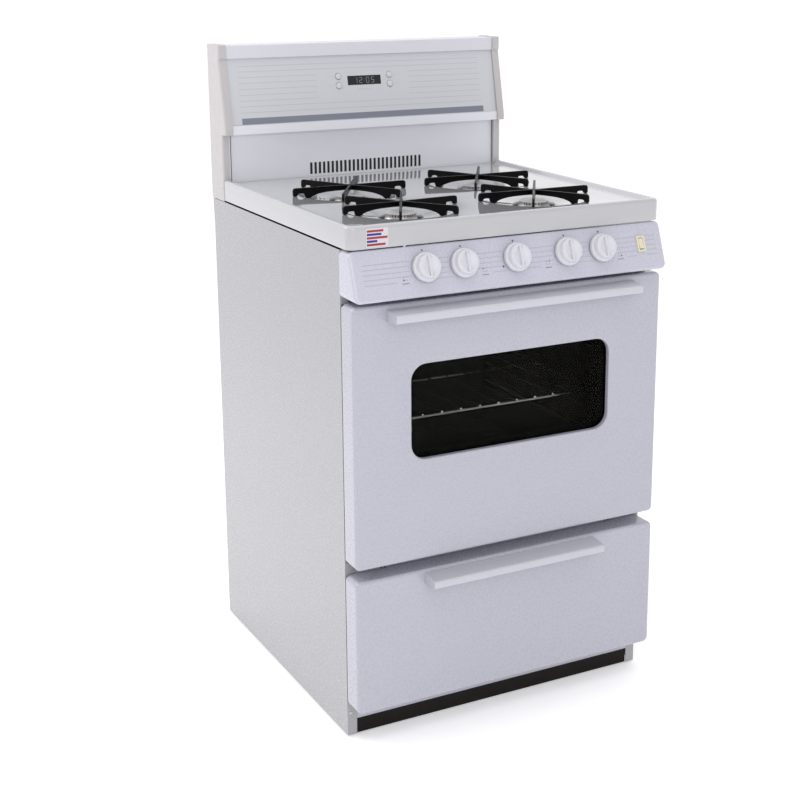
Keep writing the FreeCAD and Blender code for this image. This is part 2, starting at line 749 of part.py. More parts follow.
def bowl_cutter(label, x, y, drop):
    """The dished well round a burner, as a solid of revolution to cut away."""
    body = new_body(label)
    top = d.surface_height - drop + 0.01
    rim = d.bowl_radius + drop
    step = d.bowl_radius - d.bowl_wall + drop
    revolve(body, "XZ_Plane", "V_Axis", outline(
        (0, top), (rim, top), (step, d.surface_height - d.bowl_drop - drop),
        (d.hole_radius, d.bowl_floor - drop), (0, d.bowl_floor - drop)))
    return place(body, x, y, 0)


def cooktop():
    """The lift-up porcelain top: raised rim, recessed surface, four burner wells, open at the rear."""
    outside = pressed_top("cooktop_outside", Size(0), d.cooktop_rear)
    inside = pressed_top("cooktop_inside", d.sheet, d.cooktop_rear + 5)
    wells = [bowl_cutter("well", x, y, Size(0)) for x, y in burner_places().values()]
    under_wells = [bowl_cutter("under_well", x, y, d.sheet) for x, y in burner_places().values()]
    holes = [cylinder("burner_hole", d.hole_radius, 40, (x, y, d.bowl_floor - 20))
             for x, y in burner_places().values()]
    upper = cut("cooktop_upper", outside, *wells)
    lower = cut("cooktop_lower", inside, *under_wells)
    return node(cut("cooktop", upper, lower, *holes))


def grate(label, x, y, turn):
    """A lift-off grate of six blades on a small hub; each blade has two feet with a notch between."""
    body = new_body(label)
    top = d.grate_top
    reach = d.grate_reach
    foot = d.surface_height + 0.05
    throat = top - d.blade_depth
    blade = pad(body, "XZ_Plane", -d.blade_thickness / 2, d.blade_thickness / 2, outline(
        (0, throat), (0, top), (reach - 5, top), (reach - 1.5, top - 1.5), (reach, top - 5), (reach, foot),
        (reach - d.outer_foot, foot), (reach - d.outer_foot - 1, foot + 4),
        (d.bowl_radius - 6, foot + 4), (d.bowl_radius - 7.5, d.inner_foot_bottom),
        (d.bowl_radius - 19, d.inner_foot_bottom), (d.bowl_radius - 23, foot + 1),
        (d.bowl_radius - 34, throat - 2.5), (d.bowl_radius - 50, throat)))
    spin(body, [blade], 6)
    pad(body, "XY_Plane", throat, top, circle(0, 0, d.hub_radius))
    return node(place(body, x, y, 0, FreeCAD.Rotation(UP, turn)))


def burner_heads():
    """The aluminium burner heads: a cup, a ring of ports and a neck on the mixing tube."""
    heads = []
    for x, y in burner_places().values():
        body = new_body("burner_head")
        neck = 11
        low = d.tube_height + d.tube_radius + 0.2
        revolve(body, "XZ_Plane", "V_Axis", outline(
            (0, low), (neck, low), (neck, d.burner_top - 26), (d.burner_radius, d.burner_top - 12),
            (d.burner_radius, d.burner_top - 8), (d.burner_radius - 2, d.burner_top - 6),
            (d.burner_radius - 2, d.burner_top - 3), (0, d.burner_top - 3)))
        tooth = pad(body, "XY_Plane", d.burner_top - 3.5, d.burner_top,
                    rectangle((d.burner_radius - 9, d.burner_radius - 2.5), (-1.6, 1.6)))
        spin(body, [tooth], 24)
        heads.append(place(body, x, y, 0))
    return node(group("burner_heads", *heads))


def burner_caps():
    caps = []
    for x, y in burner_places().values():
        body = new_body("burner_cap")
        low = d.burner_top + 0.05
        revolve(body, "XZ_Plane", "V_Axis", outline(
            (0, low), (d.cap_radius, low), (d.cap_radius, low + 1.5), (d.cap_radius - 2, low + 2.6),
            (d.cap_radius - 8, d.cap_top), (0, d.cap_top)))
        caps.append(place(body, x, y, 0))
    return node(group("burner_caps", *caps))


def burner_tubes():
    """Mixing tubes from the valves to the burner heads."""
    starts = knob_places()
    tubes = []
    for label, (x, y) in burner_places().items():
        foot = (starts[label], d.manifold_y + 34, d.tube_height)
        across = V((x - foot[0]).value, (y - foot[1]).value, 0)
        length = across.Length
        pipe = cylinder("tube_pipe", d.tube_radius, d.tube_radius + length, foot, across)
        bore = cylinder("tube_bore", d.tube_radius - d.sheet, length, foot, across)
        tubes.append(cut("mixing_tube", pipe, bore))
    return node(group("burner_tubes", *tubes))


def hinge_brackets():
    """Fixed pivots: the two door hinge plates with their pins, and the two cooktop hinge pins."""
    brackets = []
    for side in (-1, 1):
        plate = box("hinge_plate", span(side, d.hinge_x + 4.2, d.hinge_x + 8.2),
                    (d.hinge_y - 7, d.body_front + 30), (d.hinge_z - 7, d.hinge_z + 7))
        pin_foot = span(side, d.hinge_x - 3.5, d.hinge_x + 8)[0]
        pin = cylinder("hinge_pin", d.hinge_pin, 11.5, (pin_foot, d.hinge_y, d.hinge_z), RIGHT)
        brackets.append(fuse("door_bracket", plate, pin))
        start = span(side, d.guard_inner - 24, d.guard_inner - 4)[0]
        pivot = cylinder("top_pin", d.top_pin_radius, 20, (start, d.top_pivot_y, d.top_pivot_z), RIGHT)
        post_x = (start + 8, start + 12)
        post_y = (d.top_pivot_y - 2, d.top_pivot_y + 2)
        post = box("top_post", post_x, post_y, (d.body_top - 30, d.top_pivot_z))
        arm_x = span(side, d.guard_inner - 14, d.body_half_width - d.sheet - 0.1)
        arm = box("top_arm", arm_x, post_y, (d.body_top - 30, d.body_top - 26))
        brackets.append(fuse("top_bracket", pivot, post, arm))
    return node(group("hinge_brackets", *brackets))


# ---------------------------------------------------------------- backguard

CLOCK_FACE = SlopingFace(d.slope_low_y, d.lip_top, d.slope_high_y, d.slope_high_z)
CLOCK_LENGTH = (d.slope_high_z - d.lip_top) * (1 / math.cos(CLOCK_FACE.lean))


def button_places():
    """Each clock button's place across the panel and up its slope."""
    left = d.display_x - d.button_side
    right = d.display_x + d.button_side
    high = d.display_centre + d.button_rise
    low = d.display_centre - d.button_rise
    return {"upper_left": (left, high), "lower_left": (left, low),
            "upper_right": (right, high), "lower_right": (right, low)}


def end_cap(label, side):
    """A backguard end: a cap with a stepped front that follows the sloping panel, open at its foot."""
    body = new_body(label)
    outer = d.half_width * side
    inner = (d.guard_inner + 0.2) * side
    slope_y = d.slope_high_y - d.cap_proud
    foot = d.body_top + 1.5
    pad(body, "YZ_Plane", inner, outer, outline(
        (d.guard_rear, foot), (d.guard_rear, d.guard_top), (slope_y - 3, d.guard_top),
        (slope_y - 3, d.slope_high_z + 1), (slope_y, d.slope_high_z - 2),
        (d.lip_front - d.cap_proud, d.lip_top - 6), (d.lip_front - d.cap_proud, d.lip_bottom),
        (d.column_front, d.lip_bottom - 2), (d.column_front, foot)))

    def outer_front_edge(bounds):
        return near(abs(bounds.XMin), d.half_width) and near(bounds.XLength, 0) and (
            bounds.YMax < d.slope_high_y.value + 1)
    round_edges(body, 4, outer_front_edge)
    hollow(body, 2, lambda bounds: near(bounds.ZMin, foot) and near(bounds.ZMax, foot))
    return node(body)


def vent_wall():
    """The backguard's lower wall with its row of vents, bent forward into the lip below the panel."""
    body = new_body("vent_wall")
    wall = d.sheet
    pad(body, "YZ_Plane", -d.guard_inner, d.guard_inner, outline(
        (d.wall_front, d.wall_low), (d.wall_front, d.lip_bottom), (d.lip_front, d.lip_bottom),
        (d.lip_front, d.lip_top), (d.lip_front + wall, d.lip_top), (d.lip_front + wall, d.lip_bottom + wall),
        (d.wall_front + wall, d.lip_bottom + wall), (d.wall_front + wall, d.wall_low)))
    half = d.vent_width / 2
    vent = pocket(body, "XZ_Plane", d.wall_front - 2, d.wall_front + 4,
                  rectangle((-d.vent_half_width - half, -d.vent_half_width + half),
                            (d.vent_low, d.vent_high)))
    pattern(body, [vent], "X_Axis", d.vent_half_width * 2, 27)
    return node(body)


def clock_panel():
    """The sloping panel, cut for the display and the four buttons."""
    half = d.guard_inner
    thick = d.sheet
    plate = box("clock_plate", (0, half * 2), (0, CLOCK_LENGTH + 6), (0, thick))
    CLOCK_FACE.put(plate, -half, -6, -thick)
    tools = []
    for x, along in button_places().values():
        hole = cylinder("button_hole", d.button_radius + 0.5, 10, (0, 0, 0))
        tools.append(CLOCK_FACE.put(hole, x, along, -5))
    window = box("display_hole", (0, d.display_half_width * 2), (0, d.display_height), (0, 10))
    tools.append(CLOCK_FACE.put(window, d.display_x - d.display_half_width,
                                d.display_centre - d.display_height / 2, -5))
    return node(cut("clock_panel", plate, *tools))


def top_cap():
    """The backguard's top trim: front face, top and a short rear flange."""
    body = new_body("backguard_top_cap")
    front = d.top_cap_front
    low = d.slope_high_z + 0.2
    top = d.guard_top - 1
    pad(body, "YZ_Plane", -d.guard_inner, d.guard_inner, outline(
        (front, low), (front, top), (d.guard_rear - 0.5, top), (d.guard_rear - 0.5, top - 30),
        (d.guard_rear - 0.5 - d.sheet, top - 30), (d.guard_rear - 0.5 - d.sheet, top - d.sheet),
        (front + d.sheet, top - d.sheet), (front + d.sheet, low + d.sheet), (front + 14, low + d.sheet),
        (front + 14, low)))

    def front_top(bounds):
        return near(bounds.YMin, front) and near(bounds.ZMin, top) and bounds.XLength > 100
    round_edges(body, 1.5, front_top)
    return node(body)


def guard_rear_cover():
    rear = d.guard_rear - 2
    return node(box("backguard_rear_cover", both_sides(d.guard_inner - 0.3), (rear - d.sheet, rear),
                    (d.body_top + 3, d.guard_top - 34)))


def display():
    """The display lens in the panel's window and the clock module behind it."""
    half = d.display_half_width - 0.3
    height = d.display_height - 0.6
    lens = box("display_lens", (0, half * 2), (0, height), (0, 2.2))
    node(CLOCK_FACE.put(lens, d.display_x - half, d.display_centre - height / 2, -1.8))
    width = d.button_side + 14
    case = box("clock_case", (0, width * 2), (0, 44), (0, 22))
    CLOCK_FACE.put(case, d.display_x - width, d.display_centre - 22, -26)
    wells = []
    for x, along in button_places().values():
        well = cylinder("button_well", 3.1, 8, (0, 0, 0))
        wells.append(CLOCK_FACE.put(well, x, along, -10))
    return node(cut("clock_module", case, *wells))


def clock_button(label, x, along):
    """A round push button with a short stem into the clock module."""
    body = new_body(label)
    pad(body, "XY_Plane", -2.2, 2.6, circle(0, 0, d.button_radius))
    round_edges(body, 0.8, lambda bounds: near(bounds.ZMin, 2.6) and near(bounds.ZMax, 2.6))
    pad(body, "XY_Plane", -8, -2.2, circle(0, 0, 3))
    return node(CLOCK_FACE.put(body, x, along))


# ---------------------------------------------------------------- oven door and drawer

def front_shell(label, low, high):
    """A pressed front: rounded face and edges, open at the back."""
    body = new_body(label)
    pad(body, "XZ_Plane", d.door_front, d.door_back, rectangle(both_sides(d.body_half_width), (low, high)))
    round_edges(body, d.door_round, lambda bounds: near(bounds.YMax, d.door_front))
    hollow(body, d.sheet, lambda bounds: near(bounds.YMin, d.door_back) and near(bounds.YMax, d.door_back))
    return body


def hinge_slot(side):
    return span(side, d.hinge_x - 6, d.hinge_x + 11)


def door_outer_panel():
    body = front_shell("door_outer_panel", d.door_bottom, d.door_top)
    window_x = both_sides(d.window_half_width)
    window_z = (d.window_low, d.window_high)
    wall = d.sheet
    pocket(body, "XZ_Plane", d.door_front - 2, d.door_front + 5,
           rounded_rectangle(window_x, window_z, d.window_corner))
    collar_z = (d.window_low - wall, d.window_high + wall)
    pad(body, "XZ_Plane", d.door_front + 0.3, d.door_front + d.window_return,
        rounded_rectangle(both_sides(d.window_half_width + wall), collar_z, d.window_corner + wall),
        rounded_rectangle(window_x, window_z, d.window_corner))
    for side in (-1, 1):
        pocket(body, "XY_Plane", d.door_bottom - 2, d.door_bottom + 5,
               rectangle(hinge_slot(side), (d.hinge_y - 10, d.door_back + 5)))
    return node(body)


def door_inner_panel():
    """The door's inner pan, with a raised plug that fills the oven opening and a window."""
    body = new_body("door_inner_panel")
    rear = d.door_back
    front = rear - d.sheet
    wall = d.sheet
    edge = d.body_half_width - wall - 0.3
    plug_x = d.oven_half_width - 8
    plug_z = (d.oven_low + 13, d.oven_high - 11)
    plug_rear = d.body_front + 6
    pad(body, "XZ_Plane", front, rear,
        rectangle(both_sides(edge), (d.door_bottom + wall + 0.3, d.door_top - wall - 0.3)))
    pad(body, "XZ_Plane", rear, plug_rear, rounded_rectangle(both_sides(plug_x), plug_z, 20))
    pocket(body, "XZ_Plane", front - 1, plug_rear - wall,
           rounded_rectangle(both_sides(plug_x - wall), (plug_z[0] + wall, plug_z[1] - wall), 20 - wall))
    pocket(body, "XZ_Plane", plug_rear - 5, plug_rear + 5,
           rounded_rectangle(both_sides(d.window_half_width - 6), (d.window_low - 4, d.window_high + 6), 20))
    for side in (-1, 1):
        pocket(body, "XZ_Plane", front - 5, rear + 5,
               rectangle(hinge_slot(side), (d.door_bottom - 2, d.hinge_z + 10)))
    return node(body)


def door_glasses():
    """The black-edged outer pane behind the door's window and the clear inner pane."""
    front = d.door_front + d.window_return + 0.2
    node(box("door_outer_glass", both_sides(d.window_half_width + 14), (front, front + 4),
             (d.window_low - 14, d.window_high + 14)))
    rear = d.body_front + 6 - d.sheet - 0.2
    return node(box("door_inner_glass", both_sides(d.window_half_width + 8), (rear - 4, rear),
                    (d.window_low - 16, d.window_high + 16)))


def door_gasket():
    """The woven seal round the plug, pressed between the door and the front frame."""
    body = new_body("door_gasket")
    inner = d.oven_half_width + 4
    pad(body, "XZ_Plane", d.door_back + 0.05, d.body_front - 0.3,
        rounded_rectangle(both_sides(inner + 6), (d.oven_low - 10, d.oven_high + 12), 20),
        rounded_rectangle(both_sides(inner), (d.oven_low - 4, d.oven_high + 6), 14))
    return node(body)


def hinge_arms():
    """Two arms inside the door, each turning on a fixed pin."""
    arms = []
    for side in (-1, 1):
        arm_x = span(side, d.hinge_x - 3, d.hinge_x + 3)
        eye = cylinder("arm_eye", 7.5, 6, (arm_x[0], d.hinge_y, d.hinge_z), RIGHT)
        strap = box("arm_strap", arm_x, (d.hinge_y - 5, d.hinge_y + 5), (d.hinge_z, d.hinge_z + 150))
        foot = box("arm_foot", arm_x, (d.hinge_y, d.door_back - d.sheet - 0.1),
                   (d.hinge_z + 60, d.hinge_z + 140))
        bore = cylinder("arm_bore", d.hinge_pin + 0.05, 8, (arm_x[0] - 1, d.hinge_y, d.hinge_z), RIGHT)
        arms.append(cut("door_hinge_arm", fuse("arm_blank", eye, strap, foot), bore))
    return node(group("door_hinge_arms", *arms))


def handle(label, half, top):
    """A full-width pull: flat top, short front lip, closed tapering ends and a flange on the panel."""
    body = new_body(label)
    front = d.handle_front
    back = d.door_front - 0.1
    wall = 3
    root = d.handle_root
    pad(body, "YZ_Plane", -half, half, outline(
        (back, top - root), (back, top), (front + 4, top - 2.5), (front, top - 6),
        (front, top - 2.5 - d.handle_lip), (front + 4, top - 4.5 - d.handle_lip)))
    pocket(body, "YZ_Plane", -half + wall, half - wall, outline(
        (back - wall, top - root - 5), (back - wall, top - wall - 0.3), (front + 5, top - 2.5 - wall),
        (front + wall, top - 6 - wall), (front + wall, top - root - 5)))

    def lip_edge(bounds):
        return near(bounds.YMin, front) and near(bounds.YLength, 0) and bounds.XLength > 100
    round_edges(body, 1.5, lip_edge)
    return node(body)


def drawer_front():
    return node(front_shell("drawer_front", d.drawer_bottom, d.drawer_top))


def drawer_box():
    """The broiler drawer's tray on its inner front plate, with a flange each side for the rails."""
    body = new_body("drawer_box")
    wall = d.sheet
    rear = d.door_back
    inner = d.body_half_width - wall - 0.3
    pad(body, "XZ_Plane", rear - wall, rear,
        rectangle(both_sides(inner), (d.drawer_bottom + wall + 0.3, d.drawer_top - wall - 0.3)))
    pad(body, "XY_Plane", d.tray_low, d.tray_high,
        rectangle(both_sides(d.tray_half_width), (rear - wall, d.tray_rear)))
    pad(body, "XY_Plane", d.tray_high - wall, d.tray_high,
        rectangle(both_sides(d.tray_half_width + 13), (d.body_front + 12, d.tray_rear)))
    pocket(body, "XY_Plane", d.tray_high + 1, d.tray_low + wall,
           rectangle(both_sides(d.tray_half_width - wall), (rear, d.tray_rear - wall)))
    return node(body)


def drawer_rails():
    """The pair of rails that the drawer's flanges slide on."""
    rails = []
    ledge_top = d.tray_high - d.sheet - 0.3
    edge = d.tray_half_width
    length = (d.body_front + 6, d.tray_rear + 20)
    height = (ledge_top - 1.5, ledge_top + 24)
    for side in (-1, 1):
        ledge = box("rail_ledge", span(side, edge + 2, edge + 16), length, (ledge_top - 1.5, ledge_top))
        web = box("rail_web", span(side, edge + 14.5, edge + 16), length, height)
        tab = box("rail_tab", span(side, edge + 14.5, edge + 36), (length[0], length[0] + 1.5), height)
        tail = box("rail_tail", span(side, edge + 14.5, edge + 56), (length[1] - 1.5, length[1]), height)
        rails.append(fuse("drawer_rail", ledge, web, tab, tail))
    return node(group("drawer_rails", *rails))


# ---------------------------------------------------------------- the whole range

def build_range():
    side_panel("left_side_panel", -1)
    side_panel("right_side_panel", 1)
    rear_panel()
    front_frame()
    base_frame()
    levelling_feet()
    kick_plate()
    oven_cavity()
    oven_floor()
    oven_burner()
    oven_rack()
    oven_lamp()
    control_panel()
    for name, x in knob_places().items():
        valve_stem(f"{name}_valve_stem", x)
        knob(f"{name}_knob", x)
    gas_manifold()
    burner_valves()
    light_switch()
    cooktop()
    turns = {"front_left": 3, "front_right": -2, "rear_left": -1, "rear_right": -1}
    for name, (x, y) in burner_places().items():
        grate(f"{name}_grate", x, y, turns[name])
    burner_heads()
    burner_caps()
    burner_tubes()
    hinge_brackets()
    end_cap("left_end_cap", -1)
    end_cap("right_end_cap", 1)
    vent_wall()
    clock_panel()
    top_cap()
    guard_rear_cover()
    display()
    for name, (x, along) in button_places().items():
        clock_button(f"{name}_clock_button", x, along)
    door_outer_panel()
    door_inner_panel()
    door_glasses()
    door_gasket()
    hinge_arms()
    handle("door_handle", d.handle_half_width, d.handle_top)
    drawer_front()
    drawer_box()
    handle("drawer_handle", d.drawer_handle_half_width, d.drawer_handle_top)
    drawer_rails()


def check_and_write():
    doc.recompute()
    for item in doc.Objects:
        if "Invalid" in item.State or "Error" in item.State:
            raise RuntimeError(f"{item.Label} did not recompute")
    os.makedirs("parts", exist_ok=True)
    for item in nodes:
        if item.Shape.isNull() or not item.Shape.isValid():
            raise RuntimeError(f"{item.Label} has no valid shape")
        item.Shape.exportStep(f"parts/{item.Label}.step")
    print(f"{len(nodes)} nodes written")


build_range()
check_and_write()
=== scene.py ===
"""Looks of the freestanding gas range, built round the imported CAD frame. Metres, +Z up."""
import json
import math

import bmesh
import bpy
from mathutils import Matrix, Vector


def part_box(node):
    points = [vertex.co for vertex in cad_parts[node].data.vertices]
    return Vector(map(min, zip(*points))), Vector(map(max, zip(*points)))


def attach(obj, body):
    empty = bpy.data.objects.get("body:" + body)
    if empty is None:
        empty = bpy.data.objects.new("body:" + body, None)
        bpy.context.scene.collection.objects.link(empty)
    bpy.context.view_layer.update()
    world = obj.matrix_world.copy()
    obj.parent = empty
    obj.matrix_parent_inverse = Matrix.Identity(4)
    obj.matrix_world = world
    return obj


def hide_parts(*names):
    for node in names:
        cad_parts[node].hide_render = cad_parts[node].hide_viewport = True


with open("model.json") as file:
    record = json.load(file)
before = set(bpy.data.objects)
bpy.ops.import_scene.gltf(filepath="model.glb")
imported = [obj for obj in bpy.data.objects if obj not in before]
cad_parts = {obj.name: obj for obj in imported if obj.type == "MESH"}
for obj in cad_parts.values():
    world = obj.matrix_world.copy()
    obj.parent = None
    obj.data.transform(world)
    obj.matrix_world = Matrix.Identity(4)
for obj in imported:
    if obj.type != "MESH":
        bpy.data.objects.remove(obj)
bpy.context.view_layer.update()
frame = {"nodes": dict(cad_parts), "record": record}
MM = 0.001


# ---------------------------------------------------------------- materials

class Nodes:
    """A short way to wire one material's nodes."""

    def __init__(self, name):
        self.material = bpy.data.materials.new(name)
        self.material.use_nodes = True
        self.tree = self.material.node_tree
        self.shader = self.tree.nodes["Principled BSDF"]
        coords = self.tree.nodes.new("ShaderNodeTexCoord")
        self.place = coords.outputs["Object"]

    def link(self, source, target):
        self.tree.links.new(source, target)

    def set(self, **values):
        for name, value in values.items():
            self.shader.inputs[name.replace("_", " ")].default_value = value

    def noise(self, scale, detail=3.0, roughness=0.5, stretch=(1, 1, 1)):
        mapping = self.tree.nodes.new("ShaderNodeMapping")
        mapping.inputs["Scale"].default_value = stretch
        self.link(self.place, mapping.inputs["Vector"])
        noise = self.tree.nodes.new("ShaderNodeTexNoise")
        noise.inputs["Scale"].default_value = scale
        noise.inputs["Detail"].default_value = detail
        noise.inputs["Roughness"].default_value = roughness
        self.link(mapping.outputs["Vector"], noise.inputs["Vector"])
        return noise.outputs["Fac"]

    def cells(self, scale, output="Color"):
        cells = self.tree.nodes.new("ShaderNodeTexVoronoi")
        cells.inputs["Scale"].default_value = scale
        self.link(self.place, cells.inputs["Vector"])
        return cells.outputs[output]

    def spread(self, source, low, high, start=0.3, end=0.7):
        """Map a noise value between start and end to a number between low and high."""
        ramp = self.tree.nodes.new("ShaderNodeMapRange")
        ramp.interpolation_type = "SMOOTHERSTEP"
        for name, value in (("From Min", start), ("From Max", end), ("To Min", low), ("To Max", high)):
            ramp.inputs[name].default_value = value
        self.link(source, ramp.inputs["Value"])
        return ramp.outputs["Result"]

    def blend(self, amount, first, second):
        """A colour between two, by an amount from 0 to 1."""
        mix = self.tree.nodes.new("ShaderNodeMix")
        mix.data_type = "RGBA"
        self.link(amount, mix.inputs["Factor"])
        for slot, colour in (("A", first), ("B", second)):
            socket = next(s for s in mix.inputs if s.name == slot and s.type == "RGBA")
            socket.default_value = (*colour, 1)
        return next(s for s in mix.outputs if s.type == "RGBA")

    def bump(self, source, height):
        bump = self.tree.nodes.new("ShaderNodeBump")
        bump.inputs["Distance"].default_value = height
        bump.inputs["Strength"].default_value = 1.0
        self.link(source, bump.inputs["Height"])
        return bump.outputs["Normal"]

    def colour(self, source):
        self.link(source, self.shader.inputs["Base Color"])

    def roughness(self, source):
        self.link(source, self.shader.inputs["Roughness"])

    def normal(self, source):
        self.link(source, self.shader.inputs["Normal"])


def tint(colour, factor):
    return tuple(min(channel * factor, 1) for channel in colour)


def coated(name, colour, rough=(0.22, 0.32), coat=0.6, peel=0.00001, peel_scale=260, mottle=0.988,
           bend=1.5):
    """Sprayed or fired enamel: a fine speckle of shade, orange peel (metres high) and a clear coat."""
    m = Nodes(name)
    m.colour(m.blend(m.spread(m.noise(1100.0), 0, 1), colour, tint(colour, mottle)))
    m.roughness(m.spread(m.noise(300.0, 2), *rough))
    m.set(Coat_Weight=coat, Coat_Roughness=0.05, IOR=bend)
    m.normal(m.bump(m.noise(peel_scale, 2), peel))
    return m.material


def painted(name, colour):
    """The backguard's satin paint."""
    return coated(name, colour, (0.32, 0.36), coat=0.3, peel=0.00002, peel_scale=300)


def moulded(name, colour, rough=(0.34, 0.46), bend=1.49):
    """Moulded plastic or ink: faint flow marks and a fine satin grain."""
    m = Nodes(name)
    m.colour(m.blend(m.spread(m.noise(400.0), 0, 1), colour, tint(colour, 0.97)))
    m.roughness(m.spread(m.noise(60.0, 4), *rough))
    m.normal(m.bump(m.noise(900, 3), 0.00003))
    m.set(IOR=bend)
    return m.material


def metal(name, colour, rough=(0.22, 0.38), scale=120, scratch=0.00002):
    """Bare or plated metal: cloudy shade and gloss, with a fine relief."""
    m = Nodes(name)
    grain = m.noise(scale, 5, 0.6)
    m.colour(m.blend(m.spread(grain, 0, 1), colour, tint(colour, 0.86)))
    m.roughness(m.spread(m.noise(scale * 0.4, 4, 0.6), *rough))
    m.set(Metallic=1.0)
    m.normal(m.bump(grain, scratch))
    return m.material


def spangled(name):
    """Galvanised sheet: large zinc crystals, each a little different in shade and gloss."""
    m = Nodes(name)
    crystals = m.cells(85)
    m.colour(m.blend(crystals, (0.34, 0.355, 0.37), (0.50, 0.515, 0.53)))
    m.roughness(m.spread(crystals, 0.30, 0.50, 0, 1))
    m.set(Metallic=1.0)
    m.normal(m.bump(m.noise(300, 3), 0.00002))
    return m.material


def speckled(name):
    """Oven enamel: near black with small pale flecks."""
    m = Nodes(name)
    fleck = m.spread(m.cells(380, output="Distance"), 1, 0, 0.10, 0.22)
    m.colour(m.blend(fleck, (0.006, 0.006, 0.006), (0.05, 0.05, 0.055)))
    m.roughness(m.spread(m.noise(40), 0.5, 0.65))
    m.set(IOR=1.25)
    m.normal(m.bump(m.noise(240), 0.00004))
    return m.material


def glass(name, colour, rough, smear, bend=1.45):
    """Tinted pane with faint smears."""
    m = Nodes(name)
    m.colour(m.blend(m.spread(m.noise(9.0), 0, 1), colour, tint(colour, 0.85)))
    m.roughness(m.spread(m.noise(14.0, 5), rough, rough + smear))
    m.set(Transmission_Weight=1.0, IOR=bend)
    return m.material


def woven(name):
    """Glass fibre braid of the door seal."""
    m = Nodes(name)
    weave = m.noise(700, 2, 0.5, (1, 1, 0.25))
    m.colour(m.blend(m.spread(weave, 0, 1), (0.035, 0.035, 0.038), (0.10, 0.10, 0.105)))
    m.roughness(m.spread(weave, 0.75, 0.95))
    m.set(Sheen_Weight=0.3)
    m.normal(m.bump(weave, 0.0004))
    return m.material


WHITE = (0.425, 0.422, 0.49)
LOOKS = {
    "white_enamel": coated("white_enamel", WHITE, (0.26, 0.30)),
    # the door's white made lighter: painted light for the control panel's upward slope
    "lit_panel_enamel": coated("lit_panel_enamel", tint(WHITE, 1.22), (0.26, 0.30)),
    # the white made darker for the side panels: painted shade for how light falls on the sides
    "shaded_side_enamel": coated("shaded_side_enamel", (0.342, 0.338, 0.357), (0.24, 0.28), coat=0.5, peel_scale=220),
    "porcelain": coated("porcelain", (0.46, 0.46, 0.48), (0.06, 0.09), coat=1.0, peel=0.00002,
                        peel_scale=60),
    "black_porcelain": coated("black_porcelain", (0.002, 0.002, 0.002), (0.28, 0.38), coat=0.0,
                              peel=0.00008, peel_scale=140, mottle=0.6, bend=1.25),
    "oven_enamel": speckled("oven_enamel"),
    "galvanised": spangled("galvanised"),
    "chrome_wire": metal("chrome_wire", (0.82, 0.82, 0.82), (0.05, 0.09), scratch=0.000004),
    "zinc_steel": metal("zinc_steel", (0.60, 0.60, 0.58), (0.28, 0.45)),
    "cast_aluminium": metal("cast_aluminium", (0.62, 0.60, 0.57), (0.32, 0.5), scale=500, scratch=0.00008),
    "cap_enamel": coated("cap_enamel", (0.62, 0.61, 0.60), (0.3, 0.5), coat=0.2, peel=0.00008,
                         peel_scale=300, mottle=0.85),
    "black_pipe": coated("black_pipe", (0.03, 0.03, 0.03), (0.35, 0.55), coat=0.2, peel=0.00015,
                         peel_scale=200, mottle=0.7),
    "valve_brass": metal("valve_brass", (0.72, 0.52, 0.22), (0.25, 0.4)),
    "knob_plastic": moulded("knob_plastic", (0.62, 0.615, 0.66), (0.26, 0.36)),
    "handle_plastic": moulded("handle_plastic", (0.53, 0.53, 0.585), (0.3, 0.42)),
    "cap_plastic": moulded("cap_plastic", (0.515, 0.492, 0.50), (0.36, 0.5)),
    "switch_plastic": moulded("switch_plastic", (0.70, 0.67, 0.50), (0.4, 0.52)),
    "display_black": coated("display_black", (0.004, 0.004, 0.005), (0.06, 0.12), coat=0.5,
                            peel_scale=200, mottle=0.7),
    "clock_case": moulded("clock_case", (0.03, 0.03, 0.03)),
    "guard_paint": painted("guard_paint", (0.585, 0.595, 0.63)),
    # the backguard paint made lighter for the vent wall: painted light
    "lit_wall_paint": painted("lit_wall_paint", (0.76, 0.77, 0.815)),
    # the backguard paint made lighter for the top cap: painted light
    "lit_cap_paint": painted("lit_cap_paint", (0.66, 0.655, 0.71)),
    "smoked_glass": glass("smoked_glass", (0.70, 0.70, 0.67), rough=0.0, smear=0.004, bend=1.10),
    "clear_glass": glass("clear_glass", (0.90, 0.92, 0.90), rough=0.0, smear=0.004, bend=1.09),
    "gasket_fibre": woven("gasket_fibre"),
    "kick_black": moulded("kick_black", (0.010, 0.008, 0.007), (0.5, 0.6), bend=1.22),
    "foot_steel": metal("foot_steel", (0.35, 0.35, 0.36), (0.35, 0.5)),
    "lamp_glass": glass("lamp_glass", (0.9, 0.9, 0.86), rough=0.15, smear=0.1),
    "ink_grey": moulded("ink_grey", (0.40, 0.40, 0.46), (0.5, 0.6)),
    "ink_pale": moulded("ink_pale", (0.475, 0.485, 0.525), (0.5, 0.6)),
    "ink_blue": moulded("ink_blue", (0.20, 0.22, 0.27), (0.45, 0.55)),
    # dark grey for printed words and rivet heads, and for painted gap shade by the vent wall
    "dark_grey_and_gap_shade": moulded("dark_grey_and_gap_shade", (0.10, 0.10, 0.11), (0.5, 0.6)),
    # black for printed marks, and for sheets of painted shade in gaps and openings
    "black_ink_and_shade": moulded("black_ink_and_shade", (0.012, 0.012, 0.014), (0.5, 0.6)),
    "ink_red": moulded("ink_red", (0.35, 0.02, 0.035), (0.35, 0.5)),
    "label_white": moulded("label_white", (0.60, 0.60, 0.62), (0.35, 0.5)),
    "label_blue": moulded("label_blue", (0.02, 0.025, 0.25), (0.35, 0.5)),
    "digit_grey": moulded("digit_grey", (0.30, 0.30, 0.32), (0.3, 0.4)),
}

